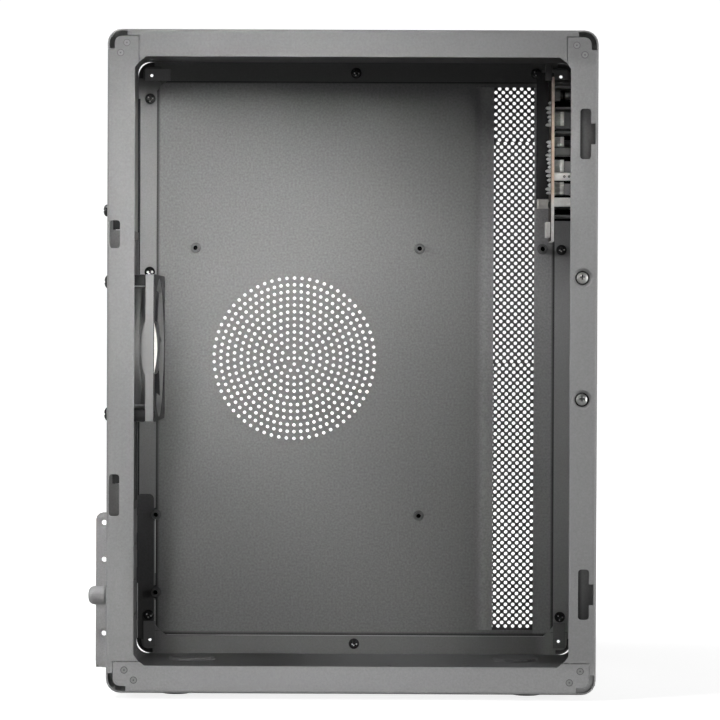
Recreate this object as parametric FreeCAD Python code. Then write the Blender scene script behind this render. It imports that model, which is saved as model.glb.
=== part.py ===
import FreeCAD
import Part
import math
import os

# Micro-ATX computer case with its side panel off. X runs from the rear wall to the
# front wall, Y from the open side to the board tray, and Z up from the feet.

V = FreeCAD.Vector

# Folded shell
SHEET = 1.0
CASE_DEPTH = 258.8
CASE_HEIGHT = 350.6
CASE_WIDTH = 190.0
CORNER_RADIUS = 7.5
CORNER_STEPS = 5
FOLD_RADIUS = 1.5
FOLD_STEPS = 3
OPEN_FLANGE = 14.5
BACK_FLANGE = 12.0
FLANGE_CORNER = 5.9
FLANGE_CORNER_STEP = 2.6
FLANGE_CORNER_SKEW = 0.7

# Lapped flange corners
RELIEF_GAP = 2.8
RELIEF_REACH = 10.5
TAB_RADIUS = 3.5
TAB_OVERHANG = 2.0
SEAM_GAP = 0.35
LAP_INSET = 5.0
LAP_LENGTH = 20.0
CORNER_HOLE_RADIUS = 1.45
CORNER_HOLE_INSET = 8.8
CORNER_HOLE_SIDES = 10

# Hook slots for the side panel
HOOK_SLOT_WIDTH = 5.8
HOOK_SLOT_INSET = 3.8
HOOK_SLOT_LENGTH = 26.6
HOOK_NOTCH_LENGTH = 10.9
HOOK_NOTCH_WIDTH = 2.4
HOOK_SLOT_DROP = 54.6
HOOK_SLOT_RISE = 53.1
HALF_SLOT_INSET = 1.3
HALF_SLOT_WIDTH = 5.6
HALF_SLOT_UPPER = (108.3, 14.8)
HALF_SLOT_LOWER = (104.5, 22.2)
SLOT_RADIUS = 1.6
SMALL_STEPS = 3

# Dished screw seats on the front bar
SEAT_RADIUS = 5.25
SEAT_FLOOR_RADIUS = 3.9
SEAT_DEPTH = 1.6
SEAT_INSET = 8.0
SEAT_HEIGHTS = (220.2, 156.0)
SEAT_SIDES = 16

# Holes for the common screw
SCREW_RADIUS = 1.5
SCREW_CLEARANCE = 0.1
SCREW_SIDES = 8

# Board tray and its vents
TRAY_SHEET = 1.0
TRAY_INSET = 1.0
TRAY_RADIUS = 8.4
VENT_RINGS = 4
VENT_RING_STEP = 11.6
VENT_HOLE = 8.4
VENT_SIDES = 6
VENT_FROM_REAR = 93.6
VENT_HEIGHT = 175.0
WINDOW_FROM_REAR = 210.7
WINDOW_WIDTH = 25.1
WINDOW_LOW = 15.4
WINDOW_DROP = 15.1
STRIP_SHEET = 1.0
STRIP_BORDER = 6.0
STRIP_HOLE_RADIUS = 5.8
STRIP_HOLE_SIDES = 4
STRIP_PITCH = 15.4
TRAY_SCREW_INSET = 8.1
TRAY_SCREW_REAR_DROPS = (22.6, 124.6)
TRAY_SCREW_FRONT_DROP = 110.8
TRAY_SCREW_RISE = 23.4
TRAY_SCREW_TOP_OFFSETS = (0.0, 106.0)
TRAY_SCREW_BASE_OFFSETS = (0.0,)
EDGE_SCREW_INSET = 7.1

# Main board that the case is made for, and its standoffs
BOARD_SIDE = 243.84
BOARD_SHEET = 1.6
BOARD_REAR_GAP = 1.1
BOARD_BASE_GAP = 1.8
STANDOFF_HEIGHT = 6.5
STANDOFF_RADIUS = 2.45
STANDOFF_BORE = 1.45
STANDOFF_SHANK = 1.9
STANDOFF_FIT = 0.05
STANDOFF_SIDES = 8
STANDOFF_NOTCH = 4.2
STANDOFF_SPOTS = (
    (33.02, 6.35),
    (165.10, 6.35),
    (237.49, 6.35),
    (10.16, 163.83),
    (165.10, 163.83),
    (10.16, 209.55),
)

# Rear wall: port plate opening, power supply opening, card slots
PORT_OPENING_LENGTH = 158.75
PORT_OPENING_WIDTH = 44.45
PORT_OPENING_BELOW_BOARD = 3.8
PORT_OPENING_ABOVE_EDGE = 0.9
PORT_PLATE_SHEET = 0.6
PORT_PLATE_MARGIN = 1.5
PORT_PLATE_FIT = 0.3
SUPPLY_WIDTH = 150.0
SUPPLY_HEIGHT = 86.0
SUPPLY_GAP = 2.9
SUPPLY_FROM_OPEN = 14.0
SUPPLY_RIM = 4.0
SUPPLY_TRAY_RIM = 22.0
SUPPLY_CLIPS = (16.0, 16.0, 36.0, 22.0)
SUPPLY_HOLES = ((6.0, 6.0), (144.0, 6.0), (120.0, 80.0), (6.0, 70.0))
SUPPLY_HOLE_RADIUS = 1.9

SLOT_COUNT = 4
SLOT_PITCH = 20.32
SLOT_TOP_DROP = 168.9
SLOT_OPENING = 13.0
SLOT_COVER_SHEET = 0.9
SLOT_COVER_WIDTH = 18.4
SLOT_COVER_LENGTH = 111.0
SLOT_COVER_TONGUE = 10.0
SLOT_TONGUE_LENGTH = 8.0
SLOT_RIM = 5.0
SLOT_SCREW_OFFSET = 8.0
SLOT_SCREW_REACH = 7.2
SLOT_NOTCH_RADIUS = 2.2
SLOT_NOTCH_SIDES = 12
LEDGE_FROM_OPEN = 68.0
LEDGE_REACH = 11.6
LEDGE_HOLE_RADIUS = 1.45
TAB_WINDOW = 12.0
SLOT_END_MARGIN = 1.5

# Plate over the card tabs, and its thumbscrew
RETAINER_MARGIN = 4.5
RETAINER_LOW_MARGIN = 1.5
RETAINER_LEG = 24.0
RETAINER_RADIUS = 4.0
RETAINER_RING = 2.9
RETAINER_RING_DEPTH = 0.4
RETAINER_RING_SIDES = 10
RETAINER_HOLE_RADIUS = 1.9
KNOB_RADIUS = 5.2
KNOB_LENGTH = 9.4
KNOB_COLLAR_RADIUS = 3.4
KNOB_COLLAR_LENGTH = 3.5
KNOB_FROM_LEG_EDGE = 6.0
KNOB_GRIPS = 12
KNOB_GRIP_DEPTH = 0.6
KNOB_COLLAR_SIDES = 12
KNOB_TIP = 6.0
KNOB_WALL_HOLE = 1.7
KNOB_GAP = 0.1
RUN_CLEARANCE = 0.06

# Rear fan
FAN_HOLE_PITCH = 71.5
FAN_HOLE_INSET = 4.25
FAN_SIDE = FAN_HOLE_PITCH + 2 * FAN_HOLE_INSET
FAN_THICKNESS = 20.0
FAN_GASKET = 1.3
FAN_FROM_OPEN = 76.0
FAN_HEIGHT = 182.0
FAN_REAR_FLANGE = 4.2
FAN_INNER_FLANGE = 4.7
FAN_CORNER_RADIUS = 4.5
FAN_DUCT_WALL = 1.8
FAN_BORE = FAN_SIDE / 2 - FAN_DUCT_WALL
FAN_POST = 7.4
FAN_HOLE_RADIUS = 2.2
FAN_STRUT = 3.6
FAN_STRUTS = 4
FAN_STRUT_TURN = 45.0
FAN_DUCT_SIDES = 28
FAN_HUB_SIDES = 18
FAN_TUBE_SIDES = 12
FAN_BASE_RADIUS = 14.0
FAN_BASE_THICKNESS = 3.0
FAN_TUBE_RADIUS = 4.0
FAN_SHAFT_RADIUS = 1.5
FAN_TUBE_LENGTH = 9.0
ROTOR_GAP = 1.0
HUB_RADIUS = 14.5
HUB_WALL = 1.6
BLADES = 7
BLADE_TIP_GAP = 1.2
BLADE_THICKNESS = 1.3
BLADE_PITCH = 40.0
BLADE_LEAN = 6.0
FAN_VENT_RINGS = 2
FAN_VENT_STEP = 14.2
FAN_VENT_HOLE = 11.4

# Floor: foot pressings, feet and drive holes
FOOT_RADIUS = 10.0
FOOT_PROUD = 3.0
FOOT_TAPER = 0.8
FOOT_SIDES = 16
FOOT_INSET_X = 35.4
FOOT_INSET_Y = 29.0
PRESSING_RADIUS = 12.0
PRESSING_RISE = 1.5
PRESSING_SLOPE = 1.5
PRESSING_SIDES = 12
DRIVE_PITCH_X = 44.45
DRIVE_PITCH_Y = 95.25
DRIVE_FROM_FRONT = 64.4
DRIVE_FROM_OPEN = 33.0
DRIVE_HOLE_RADIUS = 1.8

# Front port board, its frame, ports and power button, measured down from the board's top
IO_BOARD_SHEET = 1.6
IO_BOARD_FROM_FRONT = 20.0
IO_BOARD_FROM_OPEN = 55.0
IO_BOARD_WIDTH = 22.0
IO_BOARD_FROM_TOP = 20.0
IO_BOARD_LENGTH = 89.7
IO_FRAME_SHEET = 1.2
IO_FRAME_MARGIN = 2.0
IO_RIB_DROPS = (5.5, 17.0, 30.0, 41.2, 54.6, 75.8)
IO_RIB_GAP = 0.8
IO_POST_DROPS = (3.0, 69.4)
IO_POST_RADIUS = 2.4
IO_POST_BORE = 0.9
IO_POST_SIDES = 10
IO_ARM_REACH = 8.0
IO_ARM_DROP = 65.3
IO_ARM_WIDTH = 5.2
IO_ARM_GAP = 1.0
IO_SCREW_RADIUS = 0.8
IO_SCREW_LENGTH = 6.0
PORT_FIT = 0.2
AUDIO_DROP = 23.2
AUDIO_BLOCK = (13.0, 9.0)
AUDIO_NOSE_RADIUS = 3.4
AUDIO_NOSE_LENGTH = 3.6
AUDIO_NOSE_SIDES = 12
AUDIO_BORE = 1.8
AUDIO_BORE_DEPTH = 14.0
USB_C_DROP = 35.6
USB_C_SIZE = (9.2, 3.4)
USB_C_WALL = 0.5
USB_C_ROUND = 0.95
USB_DROPS = (48.7, 60.9)
USB_SIZE = (13.4, 5.9)
USB_WALL = 0.45
USB_DEPTH = 9.0
SWITCH_DROP = 9.4
SWITCH_SIDE = 6.0
SWITCH_DEPTH = 3.6
PLUNGER_RADIUS = 1.7
PLUNGER_LENGTH = 1.6
BUTTON_RADIUS = 4.4
BUTTON_FIT = 0.15
BUTTON_PROUD = 0.8
BUTTON_FLANGE_RADIUS = 5.4
BUTTON_FLANGE = 1.2
BUTTON_STEM_RADIUS = 2.2
BUTTON_TRAVEL = 1.0
BUTTON_GAP = 0.1
BUTTON_SIDES = 12
CONNECTOR_SIZE = (2.5, 14.0, 8.4)
CONNECTOR_DROP = 83.1

# Places worked out from the sizes above. The origin is under the middle of the
# whole outline, with the feet on Z = 0.
REAR_REACH = SHEET + KNOB_GAP + KNOB_COLLAR_LENGTH + KNOB_LENGTH
SHELL_X = (REAR_REACH - BUTTON_PROUD) / 2
REAR = SHELL_X - CASE_DEPTH / 2
FRONT = SHELL_X + CASE_DEPTH / 2
BASE = FOOT_PROUD
TOP = BASE + CASE_HEIGHT
OPEN = -CASE_WIDTH / 2
TRAY = CASE_WIDTH / 2 - STRIP_SHEET - TRAY_SHEET
STRIP = TRAY + TRAY_SHEET
BOARD_REAR = REAR + SHEET + BOARD_REAR_GAP
BOARD_TOP = BASE + SHEET + BOARD_BASE_GAP + BOARD_SIDE
BOARD_FACE = TRAY - STANDOFF_HEIGHT - BOARD_SHEET
LEDGE = OPEN + LEDGE_FROM_OPEN
FAN_Y = OPEN + FAN_FROM_OPEN
FAN_Z = BASE + FAN_HEIGHT
FAN_WALL = REAR + SHEET + FAN_GASKET
FAN_FACE = FAN_WALL + FAN_THICKNESS
IO_FACE = FRONT - IO_BOARD_FROM_FRONT
IO_REAR = IO_FACE - IO_BOARD_SHEET
IO_NEAR = OPEN + IO_BOARD_FROM_OPEN
IO_FAR = IO_NEAR + IO_BOARD_WIDTH
IO_Y = (IO_NEAR + IO_FAR) / 2
IO_TOP = TOP - IO_BOARD_FROM_TOP
IO_LOW = IO_TOP - IO_BOARD_LENGTH
AUDIO_Z = IO_TOP - AUDIO_DROP
USB_C_Z = IO_TOP - USB_C_DROP
SWITCH_Z = IO_TOP - SWITCH_DROP
FRONT_INSIDE = FRONT - SHEET
CUT = 5.0

AXIS = {"x": V(1, 0, 0), "y": V(0, 1, 0), "z": V(0, 0, 1)}


def block(low, high):
    """Box between two corners."""
    size = [b - a for a, b in zip(low, high)]
    return Part.makeBox(size[0], size[1], size[2], V(*low))


def outline(low, high, radius, steps):
    """Corners of a rounded rectangle as pairs, with flat steps round each corner."""
    points = []
    for number, (i, j) in enumerate(((1, 1), (-1, 1), (-1, -1), (1, -1))):
        a = (high[0] if i > 0 else low[0]) - i * radius
        b = (high[1] if j > 0 else low[1]) - j * radius
        for k in range(steps + 1):
            turn = math.radians(90 * (number + k / steps))
            points.append((a + radius * math.cos(turn), b + radius * math.sin(turn)))
    return points


def rounded(axis, low, high, radius, steps):
    """Box whose edges along one axis are rounded in flat steps."""
    along = "xyz".index(axis)
    across = [k for k in range(3) if k != along]
    pairs = outline([low[k] for k in across], [high[k] for k in across], radius, steps)
    points = []
    for pair in pairs:
        spot = list(pair)
        spot.insert(along, low[along])
        points.append(spot)
    return prism(points, AXIS[axis] * (high[along] - low[along]))


def rod(axis, radius, start, length):
    """Cylinder from a point along an axis."""
    return Part.makeCylinder(radius, length, V(*start), AXIS[axis])


def prism(points, direction):
    """Solid swept from a closed outline of points."""
    ring = [V(*p) for p in points]
    return Part.Face(Part.makePolygon(ring + ring[:1])).extrude(V(*direction))


def ring_points(axis, radii, start):
    """Corners round an axis, one for each radius given."""
    u = AXIS["x"] if axis == "z" else AXIS["z"]
    v = AXIS["x"] if axis == "y" else AXIS["y"]
    points = []
    for k, radius in enumerate(radii):
        turn = 2 * math.pi * k / len(radii)
        points.append(V(*start) + u * (radius * math.cos(turn)) + v * (radius * math.sin(turn)))
    return points


def post(axis, radius, start, length, sides):
    """Flat-sided rod from a point along an axis."""
    return prism(ring_points(axis, [radius] * sides, start), AXIS[axis] * length)


def stitched(loops):
    """Solid closed through loops that have as many corners each."""
    closed = [[V(*p) for p in loop] + [V(*loop[0])] for loop in loops]
    faces = [Part.Face(Part.makePolygon(loop)) for loop in (closed[0], closed[-1])]
    for low, high in zip(closed, closed[1:]):
        for k in range(len(low) - 1):
            corners = [low[k], low[k + 1], high[k + 1], high[k]]
            faces.append(Part.Face(Part.makePolygon(corners + corners[:1])))
    shell = Part.makeShell(faces)
    shell.sewShape()
    return Part.makeSolid(shell)


def stacked(axis, point, rings, sides):
    """Flat-sided solid through rings given as (along, radius)."""
    return stitched([ring_points(axis, [radius] * sides, V(*point) + AXIS[axis] * along)
                     for along, radius in rings])


def screw_hole(axis, start, length):
    """Flat-sided clearance hole for a common screw."""
    return post(axis, SCREW_RADIUS + SCREW_CLEARANCE, start, length, SCREW_SIDES)


def vent_cutter(axis, width, start, length):
    """Six-sided hole cutter, measured across its flats."""
    return post(axis, width / math.sqrt(3), start, length, VENT_SIDES)


def ring_spots(rings, step):
    """Centre spot, then rings of six, twelve, eighteen and so on."""
    spots = [(0.0, 0.0)]
    for ring in range(1, rings + 1):
        for k in range(6 * ring):
            turn = math.radians(360 * k / (6 * ring))
            spots.append((ring * step * math.sin(turn), ring * step * math.cos(turn)))
    return spots


def fuse(first, *others):
    """One solid from pieces that meet."""
    return first.fuse(list(others)).removeSplitter()


def cut(body, cutters):
    """Body with every cutter taken out."""
    return body.cut(Part.makeCompound(list(cutters)))


def save(name, shape):
    shape.exportStep(os.path.join("parts", name + ".step"))


def corner_point(side_x, side_z, a, b):
    """Place a mm in from the rear or front face and b mm in from the base or top."""
    x = REAR + a if side_x < 0 else FRONT - a
    z = BASE + b if side_z < 0 else TOP - b
    return x, z


def corner_block(side_x, side_z, a, b, y0, y1):
    """Box at a corner of the shell, given spans in from the two faces."""
    x0, z0 = corner_point(side_x, side_z, a[0], b[0])
    x1, z1 = corner_point(side_x, side_z, a[1], b[1])
    low = (min(x0, x1), y0, min(z0, z1))
    high = (max(x0, x1), y1, max(z0, z1))
    return block(low, high)


CORNERS = [(sx, sz) for sx in (-1, 1) for sz in (-1, 1)]


def mouth(width, y0, y1):
    """Opening inside a flange, with a stepped corner between the lapped bars."""
    reach, step, skew = FLANGE_CORNER, FLANGE_CORNER_STEP, FLANGE_CORNER_SKEW
    steps = ((0, reach), (step - skew, reach - step), (reach - step - skew, step), (reach, 0))
    corner = [(width + a, width + b) for a, b in steps]
    points = []
    for side_x, side_z in ((-1, -1), (1, -1), (1, 1), (-1, 1)):
        spots = [corner_point(side_x, side_z, a, b) for a, b in corner]
        if side_x != side_z:
            spots.reverse()
        points += [(x, y0, z) for x, z in spots]
    return prism(points, (0, y1 - y0, 0))


def corner_relief(y0, y1):
    """Gaps between the rounded wall and the flange tabs at the four corners."""
    inner = SHEET + RELIEF_GAP
    wall = rounded("y", (REAR + SHEET, y0, BASE + SHEET), (FRONT - SHEET, y1, TOP - SHEET),
                   CORNER_RADIUS - SHEET, CORNER_STEPS)
    tabs = rounded("y", (REAR + inner, y0, BASE + inner), (FRONT - inner, y1, TOP - inner),
                   TAB_RADIUS, SMALL_STEPS)
    reach = (0, RELIEF_REACH)
    spots = [corner_block(sx, sz, reach, reach, y0, y1) for sx, sz in CORNERS]
    return wall.cut(tabs).common(Part.makeCompound(spots))


def corner_laps(width, y0, y1, lap0, lap1):
    """Seam gaps round the corner tabs, and the bar ends that run on under them.

    The rear and front bars lap over the top bar, the bottom bar laps over both."""
    tab = width + TAB_OVERHANG
    edge = SHEET + RELIEF_GAP
    seams = []
    laps = []
    for side_x, side_z in CORNERS:
        swap = side_z < 0
        spans = [
            ((tab, tab + SEAM_GAP), (edge - SEAM_GAP, tab + FLANGE_CORNER)),
            ((edge + TAB_RADIUS, tab + SEAM_GAP), (edge - SEAM_GAP, edge)),
        ]
        for a, b in spans:
            first, second = (b, a) if swap else (a, b)
            seams.append(corner_block(side_x, side_z, first, second, y0, y1))
        along, across = (LAP_INSET, LAP_LENGTH), (LAP_INSET, width)
        first, second = (across, along) if swap else (along, across)
        laps.append(corner_block(side_x, side_z, first, second, lap0, lap1))
    return seams, laps


def pressing(x, y):
    """Round pressing up from the floor: the raised skin and the hollow under it."""
    rise = PRESSING_RISE
    low = PRESSING_RADIUS + PRESSING_SLOPE
    high = PRESSING_RADIUS
    spot = (x, y, BASE)
    skin = stacked("z", spot, ((0, low + SHEET), (rise + SHEET, high + SHEET / 2)), PRESSING_SIDES)
    hollow = stacked("z", spot, ((0, low), (rise, high)), PRESSING_SIDES)
    return skin, hollow


def foot_spots():
    xs = (REAR + FOOT_INSET_X, FRONT - FOOT_INSET_X)
    ys = (OPEN + FOOT_INSET_Y, TRAY - FOOT_INSET_Y)
    return [(x, y) for y in ys for x in xs]


def drive_spots():
    x0 = FRONT - DRIVE_FROM_FRONT - DRIVE_PITCH_X
    y0 = OPEN + DRIVE_FROM_OPEN
    return [(x0 + i * DRIVE_PITCH_X, y0 + j * DRIVE_PITCH_Y) for i in (0, 1) for j in (0, 1)]


def seat_spots():
    return [(FRONT - SEAT_INSET, BASE + z) for z in SEAT_HEIGHTS]


def standoff_spots():
    return [(BOARD_REAR + x, BOARD_TOP - drop) for x, drop in STANDOFF_SPOTS]


def tray_screw_spots():
    rear_x, front_x = REAR + TRAY_SCREW_INSET, FRONT - TRAY_SCREW_INSET
    low = BASE + TRAY_SCREW_RISE
    rear = [(rear_x, TOP - drop) for drop in TRAY_SCREW_REAR_DROPS] + [(rear_x, low)]
    front = [(front_x, TOP - TRAY_SCREW_FRONT_DROP), (front_x, low)]
    top = [(SHELL_X + x, TOP - EDGE_SCREW_INSET) for x in TRAY_SCREW_TOP_OFFSETS]
    base = [(SHELL_X + x, BASE + EDGE_SCREW_INSET) for x in TRAY_SCREW_BASE_OFFSETS]
    return rear + front + top + base


def corner_hole_spots():
    return [corner_point(sx, sz, CORNER_HOLE_INSET, CORNER_HOLE_INSET) for sx, sz in CORNERS]


def slot_heights():
    return [BOARD_TOP - SLOT_TOP_DROP - k * SLOT_PITCH for k in range(SLOT_COUNT)]


def slot_ends():
    """Lowest and highest edge of the row of slot covers."""
    heights = slot_heights()
    half = SLOT_COVER_WIDTH / 2
    return heights[-1] - half, heights[0] + half


def knob_spot():
    low, high = slot_ends()
    return LEDGE - RETAINER_LEG + KNOB_FROM_LEG_EDGE, (low + high) / 2


def supply_spot():
    """Rear lower corner of the power supply's face."""
    return OPEN + SUPPLY_FROM_OPEN, BOARD_TOP + SUPPLY_GAP


def fan_hole_spots():
    half = FAN_HOLE_PITCH / 2
    return [(FAN_Y + i * half, FAN_Z + j * half) for i in (-1, 1) for j in (-1, 1)]


def port_opening():
    """Lower and upper corner, across and up, of the opening for the board's ports."""
    y = BOARD_FACE + PORT_OPENING_BELOW_BOARD
    z = BOARD_TOP + PORT_OPENING_ABOVE_EDGE
    return (y - PORT_OPENING_WIDTH, z - PORT_OPENING_LENGTH), (y, z)


def supply_opening():
    y, z = supply_spot()
    low_y, low_z = y + SUPPLY_RIM, z + SUPPLY_RIM
    high_y, high_z = y + SUPPLY_WIDTH - SUPPLY_TRAY_RIM, z + SUPPLY_HEIGHT - SUPPLY_RIM
    a, b, c, d = SUPPLY_CLIPS
    points = [
        (low_y + a, low_z), (high_y - b, low_z),
        (high_y, low_z + b), (high_y, high_z - c),
        (high_y - c, high_z), (low_y + d, high_z),
        (low_y, high_z - d), (low_y, low_z + a),
    ]
    return prism([(REAR - CUT, p, q) for p, q in points], (2 * CUT, 0, 0))


def rear_cuts():
    """Openings and holes of the rear wall."""
    x0, span = REAR - CUT, 2 * CUT
    ports_low, ports_high = port_opening()
    cuts = [
        supply_opening(),
        block((x0,) + ports_low, (x0 + span,) + ports_high),
    ]
    y, z = supply_spot()
    cuts += [post("x", SUPPLY_HOLE_RADIUS, (x0, y + p, z + q), span, SCREW_SIDES)
             for p, q in SUPPLY_HOLES]
    cuts += [vent_cutter("x", FAN_VENT_HOLE, (x0, FAN_Y + p, FAN_Z + q), span)
             for p, q in ring_spots(FAN_VENT_RINGS, FAN_VENT_STEP)]
    cuts += [screw_hole("x", (x0, p, q), span) for p, q in fan_hole_spots()]
    for height in slot_heights():
        low = (x0, LEDGE + SLOT_RIM, height - SLOT_OPENING / 2)
        high = (x0 + span, LEDGE + SLOT_COVER_LENGTH - SLOT_RIM, height + SLOT_OPENING / 2)
        cuts.append(block(low, high))
    low, high = slot_ends()
    cuts.append(block((x0, LEDGE - TAB_WINDOW, low - SLOT_END_MARGIN),
                      (x0 + span, LEDGE, high + SLOT_END_MARGIN)))
    knob_y, knob_z = knob_spot()
    cuts.append(post("x", KNOB_WALL_HOLE, (x0, knob_y, knob_z), span, KNOB_COLLAR_SIDES))
    return cuts


def card_ledge():
    """Lip folded out of the rear wall, where the card tabs are screwed down."""
    low, high = slot_ends()
    lip = block((REAR - LEDGE_REACH, LEDGE, low - SLOT_END_MARGIN),
                (REAR + SHEET, LEDGE + SHEET, high + SLOT_END_MARGIN))
    x, y = REAR - SLOT_SCREW_REACH, LEDGE - CUT
    holes = [rod("y", LEDGE_HOLE_RADIUS, (x, y, h + SLOT_SCREW_OFFSET), 2 * CUT)
             for h in slot_heights()]
    return cut(lip, holes)


def front_cuts():
    """Holes of the front wall for the ports and the power button."""
    x0, span = FRONT_INSIDE - CUT, 2 * CUT + SHEET
    cuts = [
        post("x", AUDIO_NOSE_RADIUS + PORT_FIT, (x0, IO_Y, AUDIO_Z), span, AUDIO_NOSE_SIDES),
        post("x", BUTTON_RADIUS + BUTTON_FIT, (x0, IO_Y, SWITCH_Z), span, BUTTON_SIDES),
        port_cutter(USB_C_SIZE, USB_C_DROP, x0, span, True),
    ]
    cuts += [port_cutter(USB_SIZE, drop, x0, span) for drop in USB_DROPS]
    return cuts


def port_cutter(size, drop, x0, span, round_ends=False):
    """Opening that a port's shell passes through."""
    half_y = size[0] / 2 + PORT_FIT
    half_z = size[1] / 2 + PORT_FIT
    z = IO_TOP - drop
    low = (x0, IO_Y - half_y, z - half_z)
    high = (x0 + span, IO_Y + half_y, z + half_z)
    if round_ends:
        return rounded("x", low, high, half_z * USB_C_ROUND, SMALL_STEPS)
    return block(low, high)


def open_flange_cuts():
    """Hook slots and screw seats of the flange on the open side."""
    y0, y1 = OPEN - CUT, OPEN + SHEET
    cuts = []
    x1 = FRONT - HOOK_SLOT_INSET
    half, notch = HOOK_SLOT_LENGTH / 2, HOOK_NOTCH_LENGTH / 2
    for z in (TOP - HOOK_SLOT_DROP, BASE + HOOK_SLOT_RISE):
        cuts.append(rounded("y", (x1 - HOOK_SLOT_WIDTH, y0, z - half), (x1, y1, z + half),
                            SLOT_RADIUS, SMALL_STEPS))
        cuts.append(block((x1 - SLOT_RADIUS, y0, z - notch), (x1 + HOOK_NOTCH_WIDTH, y1, z + notch)))
    x0 = REAR + HALF_SLOT_INSET
    drop, upper = HALF_SLOT_UPPER
    rise, lower = HALF_SLOT_LOWER
    for z, length in ((TOP - drop, upper), (BASE + rise, lower)):
        cuts.append(rounded("y", (x0, y0, z - length / 2), (x0 + HALF_SLOT_WIDTH, y1, z + length / 2),
                            SLOT_RADIUS, SMALL_STEPS))
    return cuts


def folded_block():
    """Outside of the shell, its four corners round and the edges of both ends folded over."""
    turns = [math.radians(90 * k / FOLD_STEPS) for k in range(FOLD_STEPS + 1)]
    near = [(FOLD_RADIUS * (1 - math.sin(t)), OPEN + FOLD_RADIUS * (1 - math.cos(t))) for t in turns]
    far = [(inset, TRAY - (y - OPEN)) for inset, y in reversed(near)]
    loops = []
    for inset, y in near + far:
        pairs = outline((REAR + inset, BASE + inset), (FRONT - inset, TOP - inset),
                        CORNER_RADIUS - inset, CORNER_STEPS)
        loops.append([(x, y, z) for x, z in pairs])
    return stitched(loops)


def make_shell():
    """Walls folded from one sheet, with flanges on the open side and on the tray side."""
    body = folded_block()
    hollow = rounded("y", (REAR + SHEET, OPEN + SHEET, BASE + SHEET),
                     (FRONT - SHEET, TRAY - SHEET, TOP - SHEET), CORNER_RADIUS - SHEET, CORNER_STEPS)
    body = body.cut(hollow)
    near = (OPEN - CUT, OPEN + SHEET)
    far = (TRAY - SHEET, TRAY + CUT)
    near_seams, near_laps = corner_laps(OPEN_FLANGE, *near, OPEN + SHEET, OPEN + 2 * SHEET)
    far_seams, far_laps = corner_laps(BACK_FLANGE, *far, TRAY - 2 * SHEET, TRAY - SHEET)
    cuts = [mouth(OPEN_FLANGE, *near), mouth(BACK_FLANGE, *far)]
    cuts += [corner_relief(*near), corner_relief(*far)]
    cuts += near_seams + far_seams + open_flange_cuts()
    body = cut(body, cuts)
    added = near_laps + far_laps
    hollows = []
    for x, y in foot_spots():
        skin, hollow = pressing(x, y)
        added.append(skin)
        hollows.append(hollow)
    for x, z in seat_spots():
        spot = (x, OPEN, z)
        deep = SEAT_DEPTH + SHEET
        added.append(stacked("y", spot, ((0, SEAT_RADIUS + SHEET), (deep, SEAT_FLOOR_RADIUS + SHEET)),
                             SEAT_SIDES))
        hollows.append(stacked("y", spot, ((0, SEAT_RADIUS), (SEAT_DEPTH, SEAT_FLOOR_RADIUS)), SEAT_SIDES))
        hollows.append(screw_hole("y", spot, CUT))
    body = fuse(body, *added)
    holes = hollows + rear_cuts() + front_cuts()
    holes += [rod("z", DRIVE_HOLE_RADIUS, (x, y, BASE), CUT) for x, y in drive_spots()]
    holes += [screw_hole("y", (x, TRAY - CUT, z), 2 * CUT) for x, z in tray_screw_spots()]
    holes += [post("y", CORNER_HOLE_RADIUS, (x, TRAY - CUT, z), 2 * CUT, CORNER_HOLE_SIDES)
              for x, z in corner_hole_spots()]
    holes += [post("y", STANDOFF_NOTCH, (x, TRAY - SHEET, z), CUT, STANDOFF_SIDES)
              for x, z in standoff_spots()]
    return fuse(cut(body, holes), card_ledge())


def make_tray():
    """Flat wall that carries the board, with a round vent and a window for the strip."""
    plate = rounded("y", (REAR + TRAY_INSET, TRAY, BASE + TRAY_INSET),
                    (FRONT - TRAY_INSET, STRIP, TOP - TRAY_INSET), TRAY_RADIUS, CORNER_STEPS)
    y0, span = TRAY - CUT, 2 * CUT
    cuts = [vent_cutter("y", VENT_HOLE, (REAR + VENT_FROM_REAR + p, y0, BASE + VENT_HEIGHT + q), span)
            for p, q in ring_spots(VENT_RINGS, VENT_RING_STEP)]
    cuts.append(block((REAR + WINDOW_FROM_REAR, y0, BASE + WINDOW_LOW),
                      (REAR + WINDOW_FROM_REAR + WINDOW_WIDTH, y0 + span, TOP - WINDOW_DROP)))
    cuts += [post("y", CORNER_HOLE_RADIUS, (x, y0, z), span, CORNER_HOLE_SIDES)
             for x, z in corner_hole_spots()]
    cuts += [screw_hole("y", (x, y0, z), span) for x, z in tray_screw_spots()]
    cuts += [post("y", STANDOFF_SHANK + STANDOFF_FIT, (x, y0, z), span, STANDOFF_SIDES)
             for x, z in standoff_spots()]
    return cut(plate, cuts)


def make_strip():
    """Perforated strip on the outside of the tray, behind its window."""
    x0 = REAR + WINDOW_FROM_REAR - STRIP_BORDER
    x1 = REAR + WINDOW_FROM_REAR + WINDOW_WIDTH + STRIP_BORDER
    z0, z1 = BASE + WINDOW_LOW, TOP - WINDOW_DROP
    plate = block((x0, STRIP, z0 - STRIP_BORDER), (x1, STRIP + STRIP_SHEET, z1 + STRIP_BORDER))
    middle = (x0 + x1) / 2
    rows = int((z1 - z0 - 2 * STRIP_HOLE_RADIUS) / (STRIP_PITCH / 2)) + 1
    start = (z0 + z1 - (rows - 1) * STRIP_PITCH / 2) / 2
    holes = []
    for row in range(rows):
        steps = (-0.5, 0.5) if row % 2 == 0 else (0,)
        for step in steps:
            spot = (middle + step * STRIP_PITCH, STRIP - CUT, start + row * STRIP_PITCH / 2)
            holes.append(post("y", STRIP_HOLE_RADIUS, spot, 2 * CUT, STRIP_HOLE_SIDES))
    return cut(plate, holes)


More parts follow.
